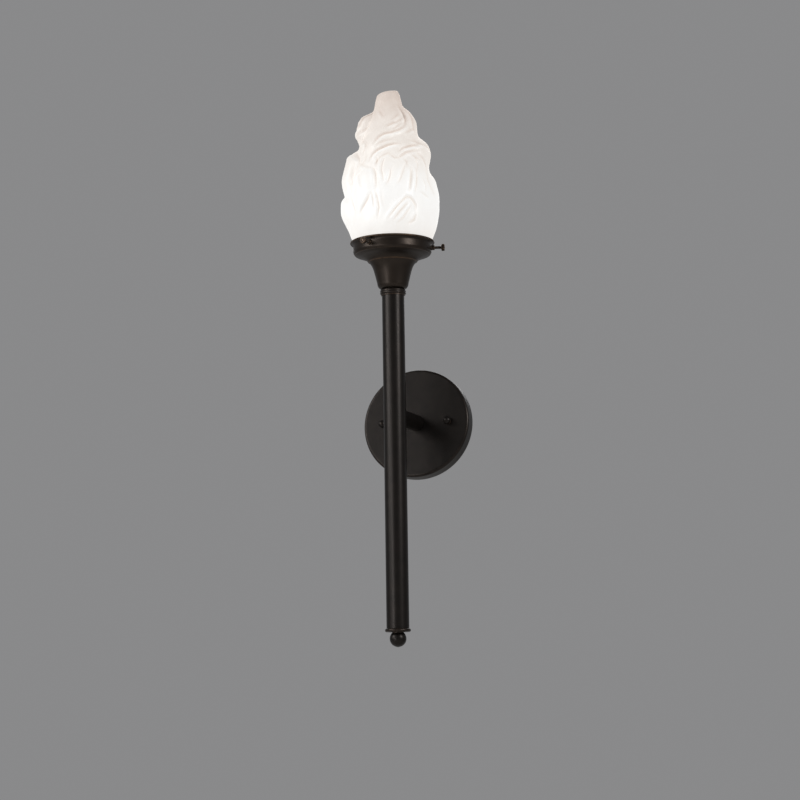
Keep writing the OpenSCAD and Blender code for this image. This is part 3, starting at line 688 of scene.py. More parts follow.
@dataclass
class WallPlate:
    """The canopy, its nuts and what it hides.

    Attributes:
        canopy_d: diameter of the canopy.
        edge_r: radius of its edge.
        sheet: thickness of its sheet.
        stud_x: distance of a stud from the middle.
        face: distance of the canopy's face from the wall.
        nut_d: diameter of a ball nut.
        stud_d: thread diameter of a stud.
        pipe_hole: radius of the hole for the arm's pipe.
    """

    canopy_d: float = 128.0
    edge_r: float = 3.0
    sheet: float = 1.5
    stud_x: float = 39.5
    face: float = 17.0
    nut_d: float = 9.0
    stud_d: float = 4.2
    pipe_hole: float = 5.45

    def build(self, places: Places, paints: Paintbox) -> None:
        """Makes and finishes the sub-assembly.

        Args:
            places: where the axes stand.
            paints: the finishes.
        """
        paints.node(Paint.ZINC, "mounting_plate", "canopy_stud_left", "canopy_stud_right", "stud_nut_left",
                    "stud_nut_right", "tilt_washer", "canopy_lock_washer")
        paints.node(Paint.BRASS, "ground_ring", "canopy_nut")
        paints.node(Paint.GREEN, "ground_screw")
        paints.piece(lathe("canopy_spun", self.canopy(), places.out_of_wall(), 192), Paint.BRONZE, "canopy")
        for side, name in ((-1, "ball_nut_left"), (1, "ball_nut_right")):
            place = places.out_of_wall() @ Matrix.Translation((side * self.stud_x, 0, self.face))
            paints.piece(lathe(f"{name}_turned", self.ball_nut(), place, 64), Paint.BRONZE, name)

    def canopy(self) -> Outline:
        """Returns the outline of the canopy: a shallow dish with a flat face and a rounded edge."""
        r, edge, sheet, hole = self.canopy_d / 2, self.edge_r, self.sheet, self.pipe_hole
        skirt, bend = [(r - sheet + 0.3, 0), (r - 0.3, 0), (r, 0.3)], (r - edge, self.face - edge)
        return [
            *skirt, *arc(bend, edge, 0, 90, 12), (hole, self.face), (hole, self.face - sheet),
            *arc(bend, edge - sheet, 90, 0, 8), (r - sheet, 0.3)]

    def ball_nut(self) -> Outline:
        """Returns the outline of a ball nut: a collar, a neck and a ball with a blind bore."""
        foot, ball = self.nut_d * 0.4, self.nut_d / 2
        middle = 1 + self.nut_d * 0.42
        low = math.degrees(math.asin((1.25 - middle) / ball))
        return [
            (self.stud_d / 2 + FIT, 0), (foot - 0.35, 0), *arc((foot - 0.35, 0.35), 0.35, -90, 0, 4),
            (foot, 0.85), *arc((foot - 0.25, 0.95), 0.25, 0, 90, 3), (foot - 0.45, 1.22),
            *arc((0, middle), ball, low, 90, 20)[:-1], (0, middle + ball),
            (0, ball + 0.1), (self.stud_d / 2 + FIT, ball + 0.05)]


@dataclass
class Torch:
    """The arm, the long tube and the turned pieces at its ends.

    Attributes:
        tube_d: outside diameter of the torch tube.
        tube_wall: its wall.
        tube_up: its length above the arm.
        tube_down: its length below the arm.
        ring_d: diameter of the neck ring.
        ring_h: height of the neck ring above the tube.
        disc_d: diameter of the bottom disc.
        disc_t: its thickness.
        plug_h: height of the plug by which it stands in the tube.
        finial_d: diameter of the ball finial.
        finial_drop: height of its pointed foot below the ball's centre.
        pipe_r: radius of the pipe in the middle.
        rod_r: radius of the rod that holds the finial.
    """

    tube_d: float = 25.4
    tube_wall: float = 1.2
    tube_up: float = 138.3
    tube_down: float = 239.2
    ring_d: float = 29.4
    ring_h: float = 6.0
    disc_d: float = 28.9
    disc_t: float = 4.0
    plug_h: float = 6.0
    finial_d: float = 18.6
    finial_drop: float = 9.45
    pipe_r: float = 4.85
    rod_r: float = 3.175

    def build(self, places: Places, paints: Paintbox) -> None:
        """Makes and finishes the sub-assembly.

        Args:
            places: where the axes stand.
            paints: the finishes.
        """
        paints.node(Paint.BRONZE, "arm_tube", "torch_tube")
        paints.node(Paint.ZINC, "arm_pipe", "tee_block", "upper_pipe", "lower_rod")
        top, foot = places.torch(self.tube_up), places.torch(-self.tube_down)
        below = foot @ Matrix.Translation((0, 0, -self.disc_t))
        paints.piece(lathe("neck_ring_turned", self.neck_ring(), top), Paint.BRONZE, "neck_ring")
        paints.piece(lathe("bottom_disc_turned", self.bottom_disc(), foot), Paint.BRONZE, "bottom_disc")
        paints.piece(lathe("finial_turned", self.finial(), below, 96), Paint.BRONZE, "finial")

    def neck_ring(self) -> Outline:
        """Returns the outline of the neck ring: two beads with a groove between them."""
        lap, bead, r = 1.4, 2.2, self.ring_d / 2
        upper, lower = self.ring_h - bead, self.ring_h - 2 * bead
        return [
            (self.tube_d / 2 + FIT, -lap), (r - bead / 2 - 0.3, -lap), (r - bead / 2, -lap + 0.3),
            *arc((r - bead, lower), bead, -62, 28, 8), *arc((r - bead, upper), bead, -28, 90, 12),
            (self.pipe_r + FIT, self.ring_h), (self.pipe_r + FIT, 0), (self.tube_d / 2 + FIT, 0)]

    def bottom_disc(self) -> Outline:
        """Returns the outline of the disc that closes the tube's foot."""
        r, edge, plug = self.disc_d / 2, self.disc_t / 2, self.tube_d / 2 - self.tube_wall - FIT
        return [
            (self.rod_r + FIT, -self.disc_t), (r - edge, -self.disc_t),
            *arc((r - edge, -edge), edge, -90, 90, 14), (plug, 0), (plug, self.plug_h - 0.5),
            (plug - 0.5, self.plug_h), (self.rod_r + FIT, self.plug_h)]

    def finial(self) -> Outline:
        """Returns the outline of the ball finial, from its bore down to its pointed foot."""
        ball, collar = self.finial_d / 2, 1.2
        middle, neck, low = -collar - ball * 0.65, ball * 0.72, math.radians(66)
        return [
            (self.rod_r + FIT, 0), (neck, 0), (neck, -0.4), (neck - 0.12, -0.75), (neck - 0.1, -1.05),
            *arc((0, middle), ball, 42, -62, 30), *flowing([
                (ball * math.cos(low), middle - ball * math.sin(low)),
                (ball * 0.22, middle - ball * 0.975), (ball * 0.08, middle - self.finial_drop + 0.04)], 4),
            (0, middle - self.finial_drop), (0, -ball), (self.rod_r + FIT, -ball)]


@dataclass
class ShadeHolder:
    """The trumpet bell, the cup and the three screws that hold the shade.

    Attributes:
        z_bell: height of the bell's foot above the arm's centre line.
        bell_h: height of the bell.
        foot_r: radius of the bell above its rounded foot.
        foot_round: radius of the rounded foot.
        mouth_r: radius of the bell's mouth.
        cone: share of the bell's flare that is a plain cone.
        late: power by which the rest of the flare comes late.
        pipe_hole: radius of the pipe's hole in the bell and the cup.
        sheet: thickness of the sheet.
        cup_r: outside radius of the cup's wall.
        cup_h: height of the cup.
        lip_w: width of its flared lip.
        screw_turn: turn of the first screw about the torch.
        screw_drop: distance from the rim down to the screws.
        screw_d: thread diameter of a screw.
        tip_r: distance of a screw's point from the torch's axis.
        knob_reach: distance from the cup's wall to the knob.
        knob_d: diameter of a knob.
        knob_t: thickness of a knob.
        knob_face: how much of that closes the knob's blind hole.
        boss_d: diameter of a boss.
        boss_len: length of a boss.
        pitch: pitch of the screws' thread.
        thread_depth: depth of that thread.
    """

    z_bell: float = 144.3
    bell_h: float = 32.0
    foot_r: float = 17.7
    foot_round: float = 6.4
    mouth_r: float = 27.2
    cone: float = 0.66
    late: int = 6
    pipe_hole: float = 5.25
    sheet: float = 1.3
    cup_r: float = 44.7
    cup_h: float = 23.0
    lip_w: float = 3.6
    screw_turn: float = 15.0
    screw_drop: float = 7.7
    screw_d: float = 3.5
    tip_r: float = 40.0
    knob_reach: float = 11.2
    knob_d: float = 8.0
    knob_t: float = 3.8
    knob_face: float = 0.8
    boss_d: float = 5.6
    boss_len: float = 3.6
    pitch: float = 0.79375
    thread_depth: float = 0.32

    @property
    def z_cup(self) -> float:
        """Height of the cup's floor above the arm's centre line."""
        return self.z_bell + self.bell_h

    @property
    def z_rim(self) -> float:
        """Height of the cup's rim above the arm's centre line."""
        return self.z_cup + self.cup_h

    def build(self, places: Places, paints: Paintbox) -> None:
        """Makes and finishes the sub-assembly.

        Args:
            places: where the axes stand.
            paints: the finishes.
        """
        # The holder's pieces take the lighter, warmer copy of the bronze, which paints on the lamp's warm
        # light.
        bronze = Paint.LAMPLIT_BRONZE
        paints.node(Paint.ZINC, "cup_washer")
        paints.node(Paint.BRASS, "cup_nut")
        bell = lathe("trumpet_bell_spun", self.bell(), places.torch(self.z_bell), 160)
        cup = lathe("shade_cup_spun", self.cup(), places.torch(self.z_cup), 192)
        paints.piece(bell, bronze, "trumpet_bell")
        paints.piece(cup, bronze, "shade_cup")
        for i in (1, 2, 3):
            out = places.shade_screw(i, self.screw_turn, self.z_rim - self.screw_drop)
            paints.piece(lathe(f"screw_boss_{i}_turned", self.boss(), out, 48), bronze, f"screw_boss_{i}")
            paints.piece(self.shank(i, out), bronze, f"thumbscrew_shank_{i}", f"screw_{i}")
            paints.piece(self.knob(i, out), bronze, f"thumbscrew_knob_{i}", f"knob_{i}")

    def bell(self) -> Outline:
        """Returns the outline of the bell's sheet: a rounded foot and a flaring side."""
        low, spread, steps = self.foot_round, self.mouth_r - self.foot_r, 28
        outside = [(self.pipe_hole, 0), *arc((self.foot_r - low, low), low, -90, -12, 12)]
        for i in range(1, steps + 1):
            t = i / steps
            flare = self.cone * t + (1 - self.cone) * t ** self.late
            outside.append((self.foot_r + spread * flare, low + (self.bell_h - low) * t))
        return self.sheet_of(outside, self.bell_h)

    def cup(self) -> Outline:
        """Returns the outline of the cup's sheet, from its floor to the bead of its lip."""
        top = self.cup_h
        face = [
            (self.pipe_hole, 0), (27.6, 0), *arc((27.6, 0.9), 0.9, -70, -20, 3),
            *flowing([(29.0, 1.5), (30.6, 3.0), (34.0, 4.9), (38.6, 6.6), (41.9, 8.3)], 5),
            *arc((39.7, 12), 5.0, -50, 0, 8), (44.7, 14.6), (44.7, 17.4),
            *arc((self.cup_r + 3.2, top - 4.8), 3.2, 176, 112, 8)]
        lip = arc((self.cup_r + self.lip_w - 1.15, top - 1.1), 1.1, -60, 150, 12)
        return self.sheet_of(face, top - 1.2, lip)

    def sheet_of(self, face: Outline, top: float, lip: Outline | None = None) -> Outline:
        """Returns the closed outline of a sheet whose outer face is given.

        Args:
            face: the outer face, from the pipe's hole upwards.
            top: height below which the sheet has an inner face.
            lip: what joins the two faces at the top, if it isn't a straight edge.
        """
        back = [(max(self.pipe_hole, r), z) for r, z in inset(face, self.sheet) if z < top]
        return [*face, *(lip or []), *reversed(back)]

    def boss(self) -> Outline:
        """Returns the outline of a boss, from inside the cup's wall to its rounded end."""
        r, end, bore = self.boss_d / 2, self.cup_r + self.boss_len, self.screw_d / 2 + FIT
        fillet, round_end = 0.5, 0.7
        return [
            (bore, self.cup_r - fillet), (r + fillet, self.cup_r - fillet),
            *arc((r + fillet, self.cup_r + fillet + 0.1), fillet, -90, -180, 4),
            *arc((r - round_end, end - round_end), round_end, 0, 90, 5), (bore + 0.35, end),
            (bore, end - 0.35)]

    def shank(self, number: int, out: Matrix) -> bpy.types.Object:
        """Makes the threaded shank of a screw.

        Args:
            number: 1, 2 or 3.
            out: the frame whose +Z runs out along the screw.
        """
        r, tip = self.screw_d / 2, self.tip_r
        end = self.cup_r + self.knob_reach + self.knob_t - self.knob_face - FIT
        heights = rungs(tip + 1.2, end, self.pitch / 6)
        outline = [(0, tip), (r * 0.6, tip), *[(r, z) for z in heights], (0, end)]
        cut = thread(self.pitch, self.thread_depth, tip + 0.8, end - 1.5)
        return lathe(f"thumbscrew_shank_{number}_cut", outline, out, 24, cut, 70)

    def knob(self, number: int, out: Matrix) -> bpy.types.Object:
        """Makes the knurled knob of a screw, with a shallow dish in its face.

        Args:
            number: 1, 2 or 3.
            out: the frame whose +Z runs out along the screw.
        """
        r, near = self.knob_d / 2, self.cup_r + self.knob_reach
        far, bore = near + self.knob_t, self.screw_d / 2 + FIT

        def knurl(radius: float, z: float, turn: float) -> float:
            """Returns the radius with the edge's grooves cut in."""
            if radius < r - 0.4:
                return radius
            return radius - 0.28 * (0.5 + 0.5 * math.cos(24 * turn)) ** 2

        edge = [(r, z) for z in rungs(near + 1.0, far - 1.0, 0.5)]
        outline = [
            (bore, near), (r - 1.1, near), (r - 0.45, near + 0.25), (r, near + 0.7), *edge, (r, far - 0.6),
            (r - 0.4, far - 0.2), (r - 1.0, far), (r - 1.5, far - 0.05), (r - 2.0, far - 0.32),
            (0, far - 0.42), (0, far - self.knob_face), (bore, far - self.knob_face)]
        return lathe(f"thumbscrew_knob_{number}_knurled", outline, out, 144, knurl, 50)


@dataclass
class Lamp:
    """The lamp socket and the lamp in it.

    Attributes:
        z_socket: height of the socket's base above the arm's centre line.
        seat: height of the lamp's contact above the socket's base.
        cap_d: diameter of the lamp's screw cap.
        cap_foot: height of the cap's foot above the contact.
        cap_len: height of the cap's top above the contact.
        bulb_d: diameter of the glass.
        bulb_len: length of the lamp.
        pitch: pitch of the cap's thread.
    """

    z_socket: float = 182.2
    seat: float = 19.3
    cap_d: float = 26.0
    cap_foot: float = 4.6
    cap_len: float = 27.0
    bulb_d: float = 48.0
    bulb_len: float = 86.0
    pitch: float = 3.6286

    def build(self, places: Places, paints: Paintbox) -> None:
        """Makes and finishes the sub-assembly.

        Args:
            places: where the axes stand.
            paints: the finishes.
        """
        paints.node(Paint.ZINC, "socket_cap", "terminal_screw_neutral")
        paints.node(Paint.CERAMIC, "socket_body")
        paints.node(Paint.BLACK_WIRE, "socket_shell")
        paints.node(Paint.BRASS, "screw_shell", "centre_contact", "terminal_screw_hot")
        paints.node(Paint.SOLDER, "bulb_contact")
        paints.node(Paint.BLACK_GLASS, "bulb_insulator")
        paints.node(Paint.STEM_GLASS, "bulb_stem")
        paints.node(Paint.TUNGSTEN, "bulb_filament")
        lamp = places.torch(self.z_socket + self.seat)
        paints.piece(self.cap(lamp), Paint.ALUMINIUM, "bulb_cap", Body.LAMP.value)
        glass = lathe("bulb_glass_blown", self.glass(), lamp, 96, crease_deg=80)
        paints.piece(glass, Paint.BULB_GLASS, "bulb_glass", Body.LAMP.value)

    def cap(self, lamp: Matrix) -> bpy.types.Object:
        """Makes the lamp's rolled screw cap.

        Args:
            lamp: the lamp's frame, from its contact upwards.
        """
        r, foot, top = self.cap_d / 2, self.cap_foot, self.cap_len
        inside, floor = r - 1.15, foot + 2.2
        side = [(r, z) for z in rungs(foot + 2.4, top - 0.4, self.pitch / 10)]
        outline = [
            (r - 2.6, foot), *side, (r - 0.3, top), (inside, top), (inside, floor), (0, floor), (0, foot)]
        return lathe("bulb_cap_rolled", outline, lamp, 96, self.rolled(foot + 3.2, top - 2.4), 60)

    def rolled(self, start: float, end: float) -> Carving:
        """Returns the carving of the cap's round thread, which leaves the cap's inside plain."""
        cut = thread(self.pitch, 0.85, start, end)
        return lambda r, z, turn: cut(r, z, turn) if r > self.cap_d / 2 - 0.2 else r

    def glass(self) -> Outline:
        """Returns the outline of the lamp's glass, a pear shape with a thin wall."""
        r, neck, wall = self.bulb_d / 2, self.cap_d / 2 - 1.2, 0.8
        middle, foot = self.bulb_len - r, self.cap_foot + 3
        side = flowing([
            (neck, foot), (neck, self.cap_len + 4), (neck + 1.0, self.cap_len + 9),
            (r * 0.80, middle - r * 0.66), (r * 0.945, middle - r * 0.33)], 8)
        outside = [(0, foot), *side[:-1], *arc((0, middle), r, -17, 90, 24)[:-1], (0, self.bulb_len)]
        inside = [(max(0.0, a - wall), b + (wall if b < foot + 1 else 0)) for a, b in outside if b < middle]
        crown = [*arc((0, middle), r - wall, 2, 90, 20)[:-1], (0, self.bulb_len - wall)]
        return [*outside, *reversed([*inside, *crown])]


@dataclass
class Wiring:
    """The insulated leads in the pipes and the wire connectors behind the canopy.

    Attributes:
        lead_d: diameter of a lead.
        between: half the space between the two leads where they lie side by side.
        z_socket: height of the socket's base above the arm's centre line.
        z_end: height of a lead's end above the socket's base.
        z_hole: heights between which a lead comes in from its terminal to the pipe.
        core_r: bend of a lead inside the block.
        hole_x: distance of a lead from the socket's middle.
        pipe_end: distance from the canopy's face back to the end of the arm's pipe.
        connector_d: diameter of a connector.
        connector_len: its length.
        connector_tilt: its lean, in degrees.
        grip: how far a lead stands in its connector.
        way: way of a lead from the pipe to its connector.
    """

    lead_d: float = 2.0
    between: float = 0.15
    z_socket: float = 182.2
    z_end: float = 17.2
    z_hole: tuple[float, float] = (13.0, 5.0)
    core_r: float = 6.0
    hole_x: float = 7.0
    pipe_end: float = 9.186
    connector_d: float = 10.0
    connector_len: float = 18.0
    connector_tilt: float = 50.0
    grip: float = 9.0
    way: tuple[tuple[float, float, float], ...] = (
        (0.2, 1.6, 0.2), (1.25, 3.0, 1.2), (3.2, 3.5, 2.9), (6.3, 3.2, 5.5), (9.8, 2.0, 8.4),
        (13.3, 0.4, 11.4), (16.3, -0.5, 13.9), (19.3, -0.65, 16.4))

    def build(self, places: Places, paints: Paintbox) -> None:
        """Makes and finishes the sub-assembly.

        Args:
            places: where the axes stand.
            paints: the finishes.
        """
        for side, kind, paint in ((-1, "hot", Paint.BLACK_WIRE), (1, "neutral", Paint.WHITE_WIRE)):
            path = self.mains_path(places, side)
            lead = sweep(f"{kind}_lead_drawn", path, self.lead_d / 2, places.wall(), 16)
            paints.piece(lead, paint, f"{kind}_lead")
            paints.piece(self.connector(places, side, kind), Paint.ORANGE, f"{kind}_connector")
        paints.node(Paint.GREEN, "ground_lead")

    @property
    def close(self) -> float:
        """How far a lead's middle is from the pipe's axis where the leads lie side by side."""
        return self.lead_d / 2 + self.between

    def out(self, places: Places, side: int) -> list[Vector]:
        """Returns a lead's way from the pipe's end to its connector, in millimetres on the wall's frame."""
        end = Matrix.Scale(1 / MM, 4) @ places.arm() @ Vector((0, self.pipe_end, 0))
        return [end + Vector((side * (self.close + x), y, z)) for x, y, z in ((0.0, 0.0, 0.0), *self.way)]

    def mains_path(self, places: Places, side: int) -> list[Vector]:
        """Returns the middle line of a lead, from the socket's terminal to its connector.

        Args:
            places: where the axes stand.
            side: -1 for the hot lead, 1 for the neutral one.
        """
        torch = Matrix.Scale(1 / MM, 4) @ places.torch()
        high, low = (self.z_socket + z for z in self.z_hole)
        points = [torch @ Vector((side * self.hole_x, 0, z)) for z in (self.z_socket + self.z_end, high)]
        for i in range(1, 6):
            t = i / 5
            x = self.hole_x + (self.close - self.hole_x) * t * t * (3 - 2 * t)
            points.append(torch @ Vector((side * x, 0, high + (low - high) * t)))
        for i in range(6):
            a = math.radians(90 * i / 5)
            bend = (side * self.close, self.core_r * (1 - math.cos(a)), self.core_r * (1 - math.sin(a)))
            points.append(torch @ Vector(bend))
        points += self.out(places, side)
        tilt = math.radians(self.connector_tilt)
        points.append(points[-1] + self.grip * Vector((side * math.sin(tilt), 0, math.cos(tilt))))
        return points

    def connector(self, places: Places, side: int, kind: str) -> bpy.types.Object:
        """Makes a ribbed wire connector.

        Args:
            places: where the axes stand.
            side: -1 on the left, 1 on the right.
            kind: "hot" or "neutral".
        """
        r, top, bore = self.connector_d / 2, self.connector_len, self.lead_d / 2 + 3 * FIT
        outline = [
            (bore, 0), (r - 0.5, 0), (r, 0.5), (r * 0.97, 1.6), (r * 0.94, 2.4),
            *[(r * (0.94 - 0.22 * t), 2.4 + (top - 5.6) * t) for t in (0.1, 0.3, 0.5, 0.7, 0.9, 1.0)],
            *arc((r * 0.18, top - 1.6), 1.6, 25, 80, 5), (0, top), (0, self.grip + FIT),
            (bore, self.grip + FIT)]

        def ribs(radius: float, z: float, turn: float) -> float:
            """Returns the radius with the connector's ribs cut in."""
            ribbed = 2.6 < z < top - 2.6 and radius > 2
            return radius - (0.35 * (0.5 + 0.5 * math.cos(12 * turn)) if ribbed else 0.0)

        lean = Matrix.Rotation(math.radians(side * self.connector_tilt), 4, "Y")
        place = places.wall() @ Matrix.Translation(self.out(places, side)[-1]) @ lean
        return lathe(f"{kind}_connector_ribbed", outline, place, 72, ribs, 50)


# ------------------------------------------------------------------------------------ the flame shade


@dataclass(frozen=True)
class Tongue:
    """One tongue of the flame.

    Attributes:
        azimuth: where its tip stands, in degrees from the viewer's side.
        tip: height of its tip above the cup's rim.
        half_width: half its width.
        length: its length.
        height: how far it stands out of the glass.
        sweep: how many degrees it turns per millimetre of its length.
    """

    azimuth: float
    tip: float
    half_width: float
    length: float
    height: float
    sweep: float


@dataclass(frozen=True)
class Fold:
    """A fold line pressed into the glass.

    Attributes:
        line: its points as (azimuth, height above the rim).
        depth: depth of its groove.
        width: half width of its groove.
        ridge: height of the ridge below it.
    """

    line: tuple[tuple[float, float], ...]
    depth: float
    width: float
    ridge: float = 0.0


@dataclass(frozen=True)
class Row:
    """A ring of the glass.

    Attributes:
        radius: radius of each of its points.
        z: its height above the rim.
        glow: glow of each of its points.
        aside: how far its middle lies aside, along crown_turn.
    """

    radius: np.ndarray
    z: float
    glow: np.ndarray
    aside: float


